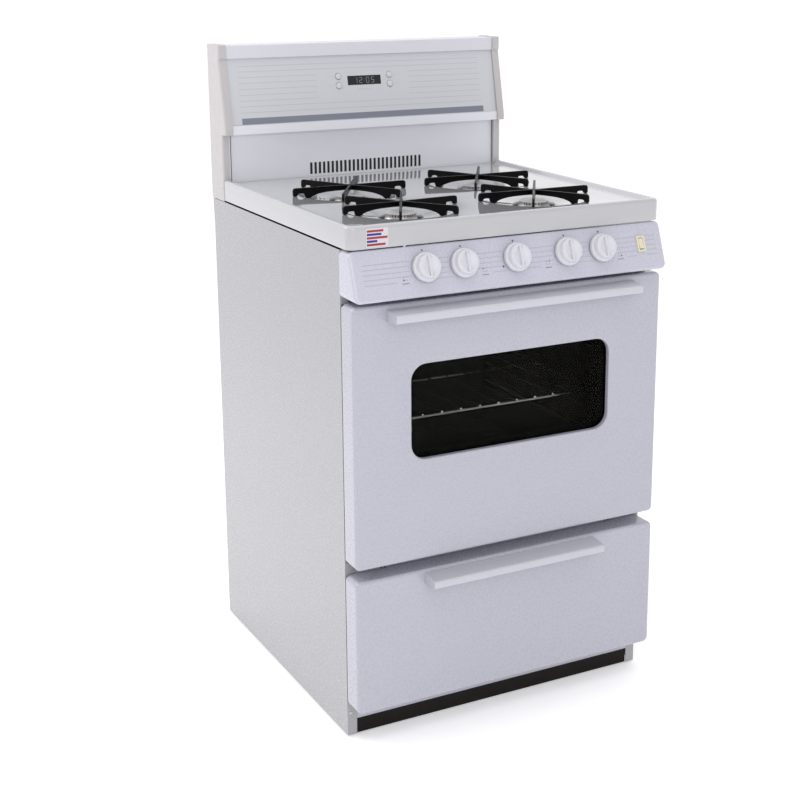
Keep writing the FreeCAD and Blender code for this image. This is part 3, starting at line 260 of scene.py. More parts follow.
# Nodes given lighter or darker copies of their paint: painted light on the vent wall and top cap, painted
# shade on the side panels.
LIGHT_AND_SHADE_COPIES = {"left_side_panel": "shaded_side_enamel", "right_side_panel": "shaded_side_enamel", "vent_wall": "lit_wall_paint",
          "backguard_top_cap": "lit_cap_paint"}


def paint_nodes():
    """Give every CAD node the look of its material slot, or its copy with painted light or painted shade
    from LIGHT_AND_SHADE_COPIES.
    """
    slot_of = {item["node"]: item["material_slot"] for item in frame["record"]["subparts"]}
    for name, item in frame["nodes"].items():
        item.data.materials.clear()
        item.data.materials.append(LOOKS[LIGHT_AND_SHADE_COPIES.get(name, slot_of[name])])


paint_nodes()


# ---------------------------------------------------------------- mesh helpers

def mm(points):
    """Points given in millimetres, turned into metres."""
    return [tuple(value * MM for value in point) for point in points]


def piece(name, mesh, look, body, replaces=(), smooth=35, bevel=0, segments=2, at=None):
    """Turn a bmesh into a finished piece that rides on a body."""
    data = bpy.data.meshes.new(name)
    bmesh.ops.recalc_face_normals(mesh, faces=mesh.faces)
    mesh.to_mesh(data)
    mesh.free()
    item = bpy.data.objects.new(name, data)
    bpy.context.scene.collection.objects.link(item)
    data.materials.append(LOOKS[look])
    if at is not None:
        data.transform(at)
    if bevel:
        rounding = item.modifiers.new("round_edges", "BEVEL")
        rounding.width = bevel
        rounding.segments = segments
        rounding.limit_method = "ANGLE"
        rounding.angle_limit = math.radians(30)
        rounding.harden_normals = True
    data.shade_smooth()
    data.set_sharp_from_angle(angle=math.radians(smooth))
    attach(item, body)
    if replaces:
        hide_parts(*replaces)


def prism(mesh, outline, low, high):
    """A solid from a closed outline of (x, y) points between two levels of z."""
    rings = [[mesh.verts.new((x, y, z)) for x, y in outline] for z in (low, high)]
    mesh.faces.new(reversed(rings[0]))
    mesh.faces.new(rings[1])
    join_rings(mesh, rings)


def join_rings(mesh, rings, closed=True):
    """Bands of faces between rings that have the same number of points."""
    for lower, upper in zip(rings, rings[1:]):
        count = len(lower)
        for i in range(count if closed else count - 1):
            j = (i + 1) % count
            mesh.faces.new((lower[i], lower[j], upper[j], upper[i]))


def loop_edges(mesh, ring):
    """The edges of a closed ring of points, made where they are missing."""
    return [mesh.edges.get((a, b)) or mesh.edges.new((a, b)) for a, b in zip(ring, ring[1:] + ring[:1])]


def slab(mesh, x, y, z):
    """A block between (low, high) pairs."""
    prism(mesh, [(x[0], y[0]), (x[1], y[0]), (x[1], y[1]), (x[0], y[1])], *z)


def lathe(mesh, profile, steps, centre=(0, 0)):
    """Turn (radius, z) points round a vertical line; ends at radius 0 close on the axis."""
    rings = []
    for radius, z in profile:
        if radius == 0:
            rings.append([mesh.verts.new((*centre, z))])
            continue
        ring = []
        for i in range(steps):
            a = 2 * math.pi * i / steps
            ring.append(mesh.verts.new((centre[0] + radius * math.cos(a),
                                        centre[1] + radius * math.sin(a), z)))
        rings.append(ring)
    for lower, upper in zip(rings, rings[1:]):
        for i in range(steps):
            j = (i + 1) % steps
            corners = [lower[i % len(lower)], lower[j % len(lower)],
                       upper[j % len(upper)], upper[i % len(upper)]]
            distinct = list(dict.fromkeys(corners))
            if len(distinct) > 2:
                mesh.faces.new(distinct)


def stamp(mesh, matrix, draw, *shape):
    """Draw a shape with one of the helpers above and move it, and nothing drawn earlier."""
    before = set(mesh.verts)
    draw(mesh, *shape)
    bmesh.ops.transform(mesh, matrix=matrix, verts=[v for v in mesh.verts if v not in before])


def curve_points(points, steps=4):
    """Points along a smooth curve through the given (a, b) points."""
    smooth = []
    ends = [points[0], *points, points[-1]]
    for p0, p1, p2, p3 in zip(ends, ends[1:], ends[2:], ends[3:]):
        for step in range(steps):
            t = step / steps
            smooth.append(tuple(
                0.5 * (2 * b + (c - a) * t + (2 * a - 5 * b + 4 * c - d) * t * t
                       + (3 * b - a - 3 * c + d) * t ** 3)
                for a, b, c, d in zip(p0, p1, p2, p3)))
    return smooth + [points[-1]]


class SlopingFace:
    """A flat face that leans back as it rises, given by two (y, z) points on it."""

    def __init__(self, low, high):
        self.low = Vector((0, *low))
        rise = Vector((0, high[0] - low[0], high[1] - low[1]))
        self.length = rise.length
        self.up = rise.normalized()
        self.out = Vector((1, 0, 0)).cross(self.up)

    def at(self, x, along):
        """A matrix that stands a piece made along +Z square on the face."""
        place = self.low + self.up * along
        turn = Matrix((Vector((1, 0, 0)), self.up, self.out)).transposed().to_4x4()
        return Matrix.Translation((x, place.y, place.z)) @ turn


# ---------------------------------------------------------------- camera, floor and light

CAMERA_PLACE = (-1.2885, -2.4496, 1.3489)
CAMERA_HEADING = math.radians(-28.633)
CAMERA_DIP = math.radians(14.119)
CAMERA_ROLL = 0.001


def set_camera():
    data = bpy.data.cameras.new("camera")
    data.sensor_width = 36
    data.lens = 67.96
    data.shift_x = -0.0686
    data.shift_y = -0.0934
    camera = bpy.data.objects.new("camera", data)
    heading = Matrix.Rotation(CAMERA_HEADING, 4, "Z")
    tilt = Matrix.Rotation(math.pi / 2 - CAMERA_DIP, 4, "X")
    lean = Matrix.Rotation(CAMERA_ROLL, 4, "Z")
    camera.matrix_world = Matrix.Translation(CAMERA_PLACE) @ heading @ tilt @ lean
    bpy.context.scene.collection.objects.link(camera)
    bpy.context.scene.camera = camera


def set_floor():
    """A pale floor, wide enough to fill every view, that glows a little so that it reads as white."""
    mesh = bmesh.new()
    bmesh.ops.create_grid(mesh, x_segments=8, y_segments=8, size=90)
    data = bpy.data.meshes.new("floor")
    mesh.to_mesh(data)
    mesh.free()
    floor = bpy.data.objects.new("floor", data)
    bpy.context.scene.collection.objects.link(floor)
    m = Nodes("floor_paint")
    m.colour(m.blend(m.spread(m.noise(1.5), 0, 1), (0.90, 0.90, 0.90), (0.93, 0.93, 0.93)))
    m.roughness(m.spread(m.noise(20.0), 0.7, 0.85))
    m.set(Emission_Color=(1, 1, 1, 1), Emission_Strength=0.30)
    data.materials.append(m.material)


def area_light(name, place, target, width, height, power):
    data = bpy.data.lights.new(name, "AREA")
    data.shape = "RECTANGLE"
    data.size = width
    data.size_y = height
    data.energy = power
    lamp = bpy.data.objects.new(name, data)
    lamp.location = place
    lamp.rotation_euler = (Vector(target) - Vector(place)).to_track_quat("-Z", "Y").to_euler()
    bpy.context.scene.collection.objects.link(lamp)


def set_light():
    """A bright surround that is dimmer in front of the range, and three soft panels."""
    world = bpy.data.worlds.new("studio")
    world.use_nodes = True
    tree = world.node_tree
    coords = tree.nodes.new("ShaderNodeTexCoord")
    split = tree.nodes.new("ShaderNodeSeparateXYZ")
    tree.links.new(coords.outputs["Generated"], split.inputs["Vector"])
    ramp = tree.nodes.new("ShaderNodeMapRange")
    ramp.interpolation_type = "SMOOTHSTEP"
    for name, value in (("From Min", -0.7), ("From Max", 0.35), ("To Min", 0.55), ("To Max", 1.0)):
        ramp.inputs[name].default_value = value
    tree.links.new(split.outputs["Y"], ramp.inputs["Value"])
    tree.links.new(ramp.outputs["Result"], tree.nodes["Background"].inputs["Strength"])
    tree.nodes["Background"].inputs["Color"].default_value = (0.98, 0.98, 1.0, 1)
    bpy.context.scene.world = world
    bpy.context.scene.view_settings.view_transform = "Standard"
    area_light("overhead", (-0.3, -0.6, 3.4), (0, 0, 0.6), width=3.2, height=2.6, power=22)
    area_light("left_rear", (-1.5, 1.1, 2.0), (-0.3, 0.3, 0.9), width=1.4, height=1.2, power=14)
    area_light("key", (-0.8, -2.9, 1.7), (0, 0, 0.7), width=2.4, height=1.4, power=25)


set_camera()
set_floor()
set_light()


# ---------------------------------------------------------------- cooktop

top_low, top_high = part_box("cooktop")
SURFACE = 0.907
WELL_RADIUS = 0.101
caps_low, caps_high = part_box("burner_caps")
CAP_RADIUS = 0.027
BURNER_X = caps_high.x - CAP_RADIUS
BURNERS = {
    "front_left": (-BURNER_X, caps_low.y + CAP_RADIUS),
    "front_right": (BURNER_X, caps_low.y + CAP_RADIUS),
    "rear_left": (-BURNER_X, caps_high.y - CAP_RADIUS),
    "rear_right": (BURNER_X, caps_high.y - CAP_RADIUS)}


def rim_path(inset, rear):
    """The cooktop's outline at an inset: from the rear left, round the front, to the rear right."""
    radius = max(0.014 - 0.5 * inset, 0.004)
    left = top_low.x + inset + radius
    front = top_low.y + inset + radius
    path = [(left - radius, rear), (left - radius, (rear + front) / 2)]
    corner_steps = 10
    for step in range(corner_steps + 1):
        a = math.pi + math.pi / 2 * step / corner_steps
        path.append((left + radius * math.cos(a), front + radius * math.sin(a)))
    return path + [(-x, y) for x, y in reversed(path)]


def is_well_edge(edge):
    """Whether an open edge lies on the rim of one of the four wells."""
    if not edge.is_boundary or any(abs(v.co.z - SURFACE) > 1e-6 for v in edge.verts):
        return False
    return any(abs((v.co.xy - Vector(centre)).length - WELL_RADIUS) < 1e-5
               for centre in BURNERS.values() for v in edge.verts)


def build_cooktop():
    """A pressed top with a raised rim and skirt at the front and sides, and four dished wells."""
    rear = 0.268
    shoulder = 0.2878
    # (inset, height) in mm: from the flat top over the rim and down to the skirt's turned-in foot
    section = [(21, 907), (18.2, 907.15), (16.6, 908), (11, 912.6), (9.2, 913.6), (7.4, 914), (5.2, 914),
               (3.2, 913.6), (1.5, 912.4), (0.5, 910.8), (0.05, 908.6), (0.05, 877), (0.5, 875.4),
               (1.6, 875), (6, 875)]
    mesh = bmesh.new()
    rings = [[mesh.verts.new((x, y, z)) for x, y in rim_path(inset, rear)] for inset, z in mm(section)]
    join_rings(mesh, rings, closed=False)
    for end in (0, -1):
        mesh.faces.new([ring[end] for ring in rings])
    inner = rings[0]
    flat = [mesh.verts.new((x, y, SURFACE)) for x, y in (
        (shoulder, rear), (shoulder, top_high.y), (-shoulder, top_high.y), (-shoulder, rear))]
    edges = loop_edges(mesh, inner + flat)
    # (radius, height) in mm: from the flat top down to the hole round the burner
    well = [(101, 907), (99, 906.85), (97.4, 906.3), (96, 905.2), (94.6, 903.8), (92.6, 902.4),
            (89.5, 901.4), (84, 900.5), (70, 898.5), (52, 896), (43, 894.8), (40, 894.2), (38.6, 893.2),
            (38.1, 891.4), (38.1, 889)]
    for centre in BURNERS.values():
        lathe(mesh, mm(well), 120, centre)
    edges += [edge for edge in mesh.edges if is_well_edge(edge)]
    bmesh.ops.triangle_fill(mesh, use_beauty=True, use_dissolve=False, edges=edges)
    piece("cooktop_porcelain", mesh, "porcelain", "cooktop", ["cooktop"], smooth=50)


build_cooktop()


# ---------------------------------------------------------------- grates and burners

def grate_outline():
    """One blade's side view: distance from the middle, and height, in millimetres."""
    arch = curve_points([(91, 911.2), (89.2, 905.2), (86.4, 901.9), (81.5, 901.9), (77.6, 903.8),
                         (72.5, 906.6), (63, 909.2), (48, 911.2), (28, 912.0), (0, 912.2)])
    tip = curve_points([(107, 922), (110.8, 921.2), (112.7, 918.6), (113, 915), (113, 911), (112.6, 908.2),
                        (110.6, 907.1), (107, 907.1), (104.6, 908.4), (103, 911), (99, 911.9), (94, 911.9)])
    return [(0, 921.4), (40, 921.8)] + tip + arch


def build_grate(name, centre, turn):
    """Six upright blades round a hub, turned a few degrees about it."""
    mesh = bmesh.new()
    outline = mm(grate_outline())
    half = 0.00225
    blades = 6
    upright = Matrix.Rotation(math.pi / 2, 4, "X")
    for index in range(blades):
        spoke = Matrix.Rotation(math.radians(360 / blades * index + turn), 4, "Z")
        stamp(mesh, spoke @ upright, prism, outline, -half, half)
    hub = [(0, 911.8), (6.6, 912), (7.6, 915.2), (7.9, 917), (7.9, 920.4), (7.0, 921.6), (5, 922), (0, 922)]
    lathe(mesh, mm(hub), 40)
    piece(f"{name}_grate_porcelain", mesh, "black_porcelain", f"{name}_grate",
          [f"{name}_grate"], smooth=40, bevel=0.0009, segments=3, at=Matrix.Translation((*centre, 0)))


for name, turn in (("front_left", 3), ("front_right", -2), ("rear_left", -1), ("rear_right", -1)):
    build_grate(name, BURNERS[name], turn)


def build_burners():
    """Toothed aluminium heads, each with its enamelled cap."""
    heads = bmesh.new()
    caps = bmesh.new()
    head = [(0, 858.3), (11, 858.3), (11, 874), (27.6, 886), (28.9, 888), (28.9, 891.6), (27.8, 893),
            (27, 894.6), (27, 896.6), (20, 896.6), (19.2, 898.8), (0, 898.8)]
    cap = [(0, 900.06), (25.4, 900.06), (26.6, 900.4), (27, 901.1), (26.6, 901.9), (25.2, 902.5),
           (19.8, 903), (18.8, 903.7), (17.2, 903.9), (0, 903.9)]
    teeth = 30
    tooth = ((0.0205, 0.0266), (-0.00155, 0.00155), (0.8965, 0.9))
    for centre in BURNERS.values():
        lathe(heads, mm(head), 90, centre)
        lathe(caps, mm(cap), 90, centre)
        for index in range(teeth):
            spin = Matrix.Translation((*centre, 0)) @ Matrix.Rotation(2 * math.pi * index / teeth, 4, "Z")
            stamp(heads, spin, slab, *tooth)
    piece("burner_head_castings", heads, "cast_aluminium", "range", ["burner_heads"],
          bevel=0.0003)
    piece("burner_cap_discs", caps, "cap_enamel", "range", ["burner_caps"])


build_burners()


# ---------------------------------------------------------------- control panel

PANEL_FOOT = (-0.3175, 0.797)
PANEL_TOP = (-0.290, 0.872)
PANEL = SlopingFace(PANEL_FOOT, PANEL_TOP)
KNOB_UP = 0.04314
KNOB_X = {name: sum(corner.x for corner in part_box(f"{name}_valve_stem")) / 2
          for name in ("front_left", "rear_left", "oven", "rear_right", "front_right")}


def scoop(x, y):
    """How far a knob's top is hollowed beside its finger ridge, in millimetres."""
    ridge_half, wall_width = 1.7, 0.7
    half_width, half_length, depth = 13.5, 19.0, 3.6
    edge = half_width * (1 - (y / half_length) ** 2)
    reach = abs(x) - ridge_half
    if reach <= 0 or abs(x) >= edge:
        return 0.0
    wall = min(reach / wall_width, 1.0)
    slope = 1 - reach / max(edge - ridge_half, 0.1)
    return depth * wall * slope ** 0.85


def knob_mesh(foot, top):
    """A height field over the knob's disc, with its side turned down from the rim; in millimetres."""
    mesh = bmesh.new()
    radius = 18.4
    sink, rise = 0.6, 0.5
    # shares of the radius, close together beside the finger ridge and at the rim
    columns = [0, 0.05, 0.09, 0.105, 0.13, 0.16, 0.21, 0.27, 0.34, 0.42, 0.5, 0.58, 0.66, 0.74, 0.82, 0.89,
               0.94, 0.975, 0.995]
    columns = sorted({-c for c in columns} | set(columns))
    rows = 26
    grid = []
    for share in columns:
        x = share * radius
        half = math.sqrt(radius ** 2 - x ** 2)
        line = []
        for row in range(rows + 1):
            y = -half * math.cos(math.pi * row / rows)
            crown = rise * (1 - (x * x + y * y) / radius ** 2)
            line.append(mesh.verts.new((x * MM, y * MM, (top - sink + crown - scoop(x, y)) * MM)))
        grid.append(line)
    for left, right in zip(grid, grid[1:]):
        for row in range(rows):
            mesh.faces.new((left[row], right[row], right[row + 1], left[row + 1]))
    rim = ([line[0] for line in grid] + grid[-1][1:-1] + [line[-1] for line in reversed(grid)]
           + list(reversed(grid[0][1:-1])))
    side = [(19.3, top - 0.9), (19.9, top - 1.6), (20.3, top - 2.8), (21.3, foot + 9.2), (21.9, foot + 8.3),
            (23.2, foot + 7.6), (24.2, foot + 7.1), (24.7, foot + 6.2), (25, foot + 1.6),
            (24.6, foot + 0.3), (24, foot), (21, foot)]
    rings = [rim]
    for reach, z in side:
        ring = []
        for v in rim:
            flat = Vector((v.co.x, v.co.y)).normalized() * reach * MM
            ring.append(mesh.verts.new((flat.x, flat.y, z * MM)))
        rings.append(ring)
    join_rings(mesh, rings)
    return mesh


def build_knobs():
    """Five knobs with an open back and a sleeve round the valve stem."""
    sleeve = [(4.05, 4.6), (7, 4.6), (7, 14)]
    for name, x in KNOB_X.items():
        mesh = knob_mesh(4.0, 23.0)
        lathe(mesh, mm(sleeve), 48)
        piece(f"{name}_knob_moulding", mesh, "knob_plastic", f"{name}_knob",
              [f"{name}_knob"], smooth=38, at=PANEL.at(x, KNOB_UP))


build_knobs()


def ink(name, face, marks, look, lift=0.00004, body="range"):
    """Printed marks: very thin flat shapes, each a list of (x, along) points on a sloping face."""
    mesh = bmesh.new()
    thick = 0.00010
    for outline in marks:
        stamp(mesh, face.at(0, 0), prism, outline, lift, lift + thick)
    piece(name, mesh, look, body)


def bar(x0, x1, low, high):
    return [(x0, low), (x1, low), (x1, high), (x0, high)]


def disc(x, y, radius, points=10):
    """A small round mark."""
    return [(x + radius * math.cos(a), y + radius * math.sin(a))
            for a in [math.pi * k / (points / 2) for k in range(points)]]


def cut_span(span, gaps, shortest=0.002):
    """What is left of a (low, high) span once the gaps are taken out."""
    parts = [span]
    for low, high in gaps:
        halves = [half for a, b in parts for half in ((a, min(b, low)), (max(a, high), b))]
        parts = [half for half in halves if half[1] - half[0] > shortest]
    return parts


ICONS = (-0.211, -0.062, 0.062, 0.211)


def panel_stripes():
    """Five fine lines across the panel, broken round the knobs, the icons and the switch."""
    half = 0.0006
    clear = 0.0285
    icon_half = 0.0145
    switch_gap = (0.246, 0.268)
    rear_right_gap = (0.196, 0.211)
    slope = math.cos(math.atan2(PANEL_TOP[0] - PANEL_FOOT[0], PANEL_TOP[1] - PANEL_FOOT[1]))
    heights = (0.850, 0.8425, 0.8346, 0.8268, 0.8188)
    stripes = []
    for row, height in enumerate(heights):
        along = (height - PANEL_FOOT[1]) / slope
        reach = math.sqrt(max(clear ** 2 - (along - KNOB_UP) ** 2, 0))
        gaps = [(x - reach, x + reach) for x in KNOB_X.values()]
        if row == len(heights) - 1:
            gaps += [(x - icon_half, x + icon_half) for x in ICONS]
        if row == len(heights) - 2:
            gaps.append(rear_right_gap)
        if row > 0:
            gaps.append(switch_gap)
        stripes += [bar(a, b, along - half, along + half) for a, b in cut_span((-0.285, 0.290), gaps)]
    return stripes


def panel_markers():
    """A pointer over each knob, a spot beside the oven's, and icons of four burners, one of them large."""
    pointer_foot, pointer_rise, pointer_half = 0.0700, 0.0036, 0.0018
    marks = [[(x - pointer_half, pointer_foot + pointer_rise), (x, pointer_foot),
              (x + pointer_half, pointer_foot + pointer_rise)] for x in KNOB_X.values()]
    for x, lit in zip(ICONS, (0, 2, 3, 1)):
        for spot in range(4):
            size = 0.0013 if spot == lit else 0.0007
            marks.append(disc(x + (-0.0028, 0.0028)[spot % 2], (0.0262, 0.0312)[spot // 2], size))
    return marks + [bar(KNOB_X["oven"] - 0.0272, KNOB_X["oven"] - 0.0242, 0.029, 0.032)]


def panel_words():
    """Short bars under each icon, in place of words."""
    pitch, half = 0.0026, 0.0009
    return [bar(x + step * pitch - half, x + step * pitch + half, 0.0196, 0.0210)
            for x in ICONS for step in (-2, -1, 0, 1, 2)]


ink("panel_stripes", PANEL, panel_stripes(), "ink_grey")
ink("panel_markers", PANEL, panel_markers(), "black_ink_and_shade")
ink("panel_words", PANEL, panel_words(), "dark_grey_and_gap_shade")


def build_label():
    """A plain label of short colour bars on the cooktop's front skirt."""
    skirt_y = top_low.y + 0.00003
    skirt = SlopingFace((skirt_y, 0.875), (skirt_y, 0.914))
    x0, x1 = -0.2715, -0.2345
    margin = 0.0012
    pitch = 0.0056
    paper = [bar(x0 - margin, x1 + margin, 0.0030, 0.0335)]
    ink("label_paper", skirt, paper, "label_white", 0.00002, "cooktop")
    shares = (0.9, 0.5, 1.0, 0.7, 0.8)
    bars = [bar(x0, x0 + (x1 - x0) * share, 0.0050 + row * pitch, 0.0087 + row * pitch)
            for row, share in enumerate(shares)]
    ink("label_red_bars", skirt, bars[::2], "ink_red", 0.00013, "cooktop")
    ink("label_blue_bars", skirt, bars[1::2], "label_blue", 0.00013, "cooktop")


build_label()


# ---------------------------------------------------------------- backguard

CLOCK = SlopingFace((0.262, 1.017), (0.286, 1.141))
BUTTONS = {"upper_left": (-0.060, 0.0848), "lower_left": (-0.060, 0.0668),
           "upper_right": (0.051, 0.0848), "lower_right": (0.051, 0.0668)}
SEGMENTS = {"1": "bc", "2": "abged", "0": "abcdef", "5": "afgcd"}


def digit(symbol, x, y, width, height):
    """The lit bars of a seven-segment digit."""
    thick = 0.0008
    gap = 0.0003
    half = height / 2
    right = x + width
    top = y + height
    places = {
        "a": bar(x + gap, right - gap, top - thick, top),
        "g": bar(x + gap, right - gap, y + half - thick / 2, y + half + thick / 2),
        "d": bar(x + gap, right - gap, y, y + thick),
        "f": bar(x, x + thick, y + half + gap, top - gap),
        "b": bar(right - thick, right, y + half + gap, top - gap),
        "e": bar(x, x + thick, y + gap, y + half - gap),
        "c": bar(right - thick, right, y + gap, y + half - gap)}
    return [places[key] for key in SEGMENTS[symbol]]


def clock_stripes():
    """Nine fine lines across the clock panel, the middle five broken round the display and buttons."""
    rows = (0.111, 0.1008, 0.0898, 0.0791, 0.0677, 0.0567, 0.0455, 0.0349, 0.0235)
    half = 0.00055
    stripes = []
    for index, along in enumerate(rows):
        gaps = [(-0.1065, 0.0927)] if 2 <= index <= 6 else []
        stripes += [bar(a, b, along - half, along + half) for a, b in cut_span((-0.2675, 0.255), gaps)]
    return stripes


def clock_marks():
    """Short bars beside the buttons and under the display, in place of words."""
    marks = []
    clear, pitch = 0.0125, 0.0052
    half, half_height = 0.0016, 0.0004
    for x, along in BUTTONS.values():
        side = -1 if x < 0 else 1
        for step in range(3):
            cx = x + side * (clear + pitch * step)
            marks.append(bar(cx - half, cx + half, along - half_height, along + half_height))
    first, under_pitch, under_half = -0.0175, 0.0026, 0.0009
    for step in range(11):
        x = under_pitch * step + first
        marks.append(bar(x - under_half, x + under_half, 0.0580, 0.0591))
    return marks


def clock_time():
    """Four digits and a colon: 12:05."""
    lit = []
    cursor = -0.0262
    pitch, colon_pitch = 0.0108, 0.0150
    for symbol in "1205":
        lit += digit(symbol, cursor, 0.0703, 0.0062, 0.0110)
        cursor += colon_pitch if symbol == "2" else pitch
    return lit + [bar(-0.0058, -0.0049, 0.0732, 0.0741), bar(-0.0058, -0.0049, 0.0774, 0.0783)]


ink("clock_stripes", CLOCK, clock_stripes(), "ink_pale")
ink("clock_bar", CLOCK, [bar(-0.267, 0.259, 0.0012, 0.013)], "ink_blue")
ink("clock_marks", CLOCK, clock_marks(), "ink_pale")
ink("clock_digits", CLOCK, clock_time(), "digit_grey", 0.00042)


def build_clock_buttons():
    """Four domed push buttons on short stems."""
    dome = [(0, 2.6), (3.2, 2.5), (4.8, 2.2), (5.6, 1.7), (6.0, 1.0), (6.15, 0), (6.2, -2.2), (3.0, -2.3),
            (3.0, -8), (0, -8)]
    for name, (x, along) in BUTTONS.items():
        mesh = bmesh.new()
        lathe(mesh, mm(dome), 48)
        piece(f"{name}_button_cap", mesh, "knob_plastic", f"{name}_button",
              [f"{name}_clock_button"], at=CLOCK.at(x, along))


build_clock_buttons()


# ---------------------------------------------------------------- door, drawer and panel fronts

FRONT = -0.3015
BACK = -0.259
BODY_FRONT = -0.256
SHEET = 0.0012
ROLL = 0.005
CORNER_STEPS = 8


def rounded_loop(x, y, radius, steps=CORNER_STEPS):
    """Points round a rectangle between (low, high) pairs, with quarter-circle corners."""
    points = []
    for turn, (cx, cy) in enumerate(((x[1], y[1]), (x[0], y[1]), (x[0], y[0]), (x[1], y[0]))):
        mx = cx - radius if turn in (0, 3) else cx + radius
        my = cy - radius if turn in (0, 1) else cy + radius
        for step in range(steps + 1):
            a = math.pi / 2 * (turn + step / steps)
            points.append((mx + radius * math.cos(a), my + radius * math.sin(a)))
    return points


def roll(radius, steps=8):
    """The (inset, depth) pairs of a rounded edge, from the face to the side."""
    turns = [math.pi / 2 * step / steps for step in range(steps + 1)]
    return [(radius * (1 - math.sin(a)), radius * (1 - math.cos(a))) for a in turns]


def fill_between(mesh, *rings):
    """A flat face between an outer ring and the rings inside it."""
    edges = [edge for ring in rings for edge in loop_edges(mesh, ring)]
    bmesh.ops.triangle_fill(mesh, use_beauty=True, use_dissolve=False, edges=edges)


def shell_loop(z, inset, slots):
    """The outline of a front at an inset, with points at the edges of the slots in its foot."""
    half = 0.304 - inset
    low, high = z[0] + inset, z[1] - inset
    loop = rounded_loop((-half, half), (low, high), max(0.010 - inset, 0.002))
    last_corner = len(loop) // 4 * 3
    return loop[:last_corner] + [(x, low) for x in slots] + loop[last_corner:]


def front_shell(name, z, body, replaced, window=None, slots=()):
    """A pressed front: rounded corners and edges, turned back at the sides, open at the back."""
    mesh = bmesh.new()
    collar = 0.0145

    def ring(inset, depth):
        return [mesh.verts.new((x, FRONT + depth, up)) for x, up in shell_loop(z, inset, slots)]

    outer = [ring(inset, depth) for inset, depth in roll(ROLL)]
    collar_start = ring(0, collar)
    back = ring(0, BACK - FRONT)
    back_inner = ring(SHEET, BACK - FRONT)
    inner_start = ring(SHEET, collar)
    inner = [ring(SHEET, ROLL), ring(ROLL + SHEET / 2, SHEET)]
    join_rings(mesh, outer + [collar_start])
    join_rings(mesh, [inner_start] + inner)
    first_slot = len(back) - (CORNER_STEPS + 1) - len(slots)
    open_steps = {first_slot + i for i in range(0, len(slots), 2)}
    for i in range(len(back)):
        j = (i + 1) % len(back)
        if i in open_steps:
            mesh.faces.new((collar_start[i], collar_start[j], inner_start[j], inner_start[i]))
            for k in (i, j):
                mesh.faces.new((collar_start[k], back[k], back_inner[k], inner_start[k]))
            continue
        for low, high in ((collar_start, back), (back, back_inner), (back_inner, inner_start)):
            mesh.faces.new((low[i], low[j], high[j], high[i]))
    if window is None:
        mesh.faces.new(outer[0])
        mesh.faces.new(inner[-1])
    else:
        x, up, radius = window
        lip = 0.009

        def opening(outset, depth):
            loop = rounded_loop((x[0] - outset, x[1] + outset), (up[0] - outset, up[1] + outset),
                                radius + outset)
            return [mesh.verts.new((a, FRONT + depth, b)) for a, b in loop]

        edge = [opening(outset, depth) for outset, depth in roll(0.0022, 5)]
        edge += [opening(0, lip), opening(SHEET, lip), opening(SHEET, SHEET)]
        join_rings(mesh, edge)
        fill_between(mesh, outer[0], edge[0])
        fill_between(mesh, inner[-1], edge[-1])
    piece(name, mesh, "white_enamel", body, [replaced], smooth=32)


def build_fronts():
    """The door's front, with its window and slots for the hinge arms, and the drawer's."""
    window = ((-0.1975, 0.1975), (0.507, 0.674), 0.028)
    hinge_slots = (-0.264, -0.247, 0.247, 0.264)
    front_shell("door_front_shell", (0.327, 0.7825), "door", "door_outer_panel", window, hinge_slots)
    front_shell("drawer_front_shell", (0.062, 0.306), "drawer", "drawer_front")


build_fronts()


def build_control_panel():
    """The sloping panel with soft corners, its stem holes and the switch's hole."""
    mesh = bmesh.new()
    face = PANEL.at(0, 0)
    half = 0.305
    along = (-0.0046, PANEL.length + 0.0023)
    lowest, highest = 0.7915, 0.8742
    rings = []
    for inset, depth in roll(0.0052):
        loop = rounded_loop((-half + inset, half - inset), (along[0] + inset, along[1] - inset * 0.5),
                            max(0.011 - inset, 0.002))
        rings.append([mesh.verts.new(face @ Vector((a, b, -depth))) for a, b in loop])
    rings.append([mesh.verts.new((v.co.x, BODY_FRONT - 0.0003, max(v.co.z, lowest))) for v in rings[-1]])
    for ring in rings:
        for v in ring:
            v.co.z = min(max(v.co.z, lowest), highest)
    join_rings(mesh, rings)
    holes = [disc(centre, KNOB_UP, 0.0055, 32) for centre in KNOB_X.values()]
    switch_half = 0.0125
    holes.append(rounded_loop((0.250, 0.264), (KNOB_UP - switch_half, KNOB_UP + switch_half), 0.001, 3))
    edges = []
    for hole in holes:
        pair = [[mesh.verts.new(face @ Vector((a, b, level))) for a, b in hole] for level in (0, -SHEET)]
        join_rings(mesh, pair)
        edges.append(pair[0])
    fill_between(mesh, rings[0], *edges)
    # the panel's enamel is the lighter copy of the white, painted light for its slope
    piece("control_panel_shell", mesh, "lit_panel_enamel", "range", ["control_panel"],
          smooth=32)


build_control_panel()


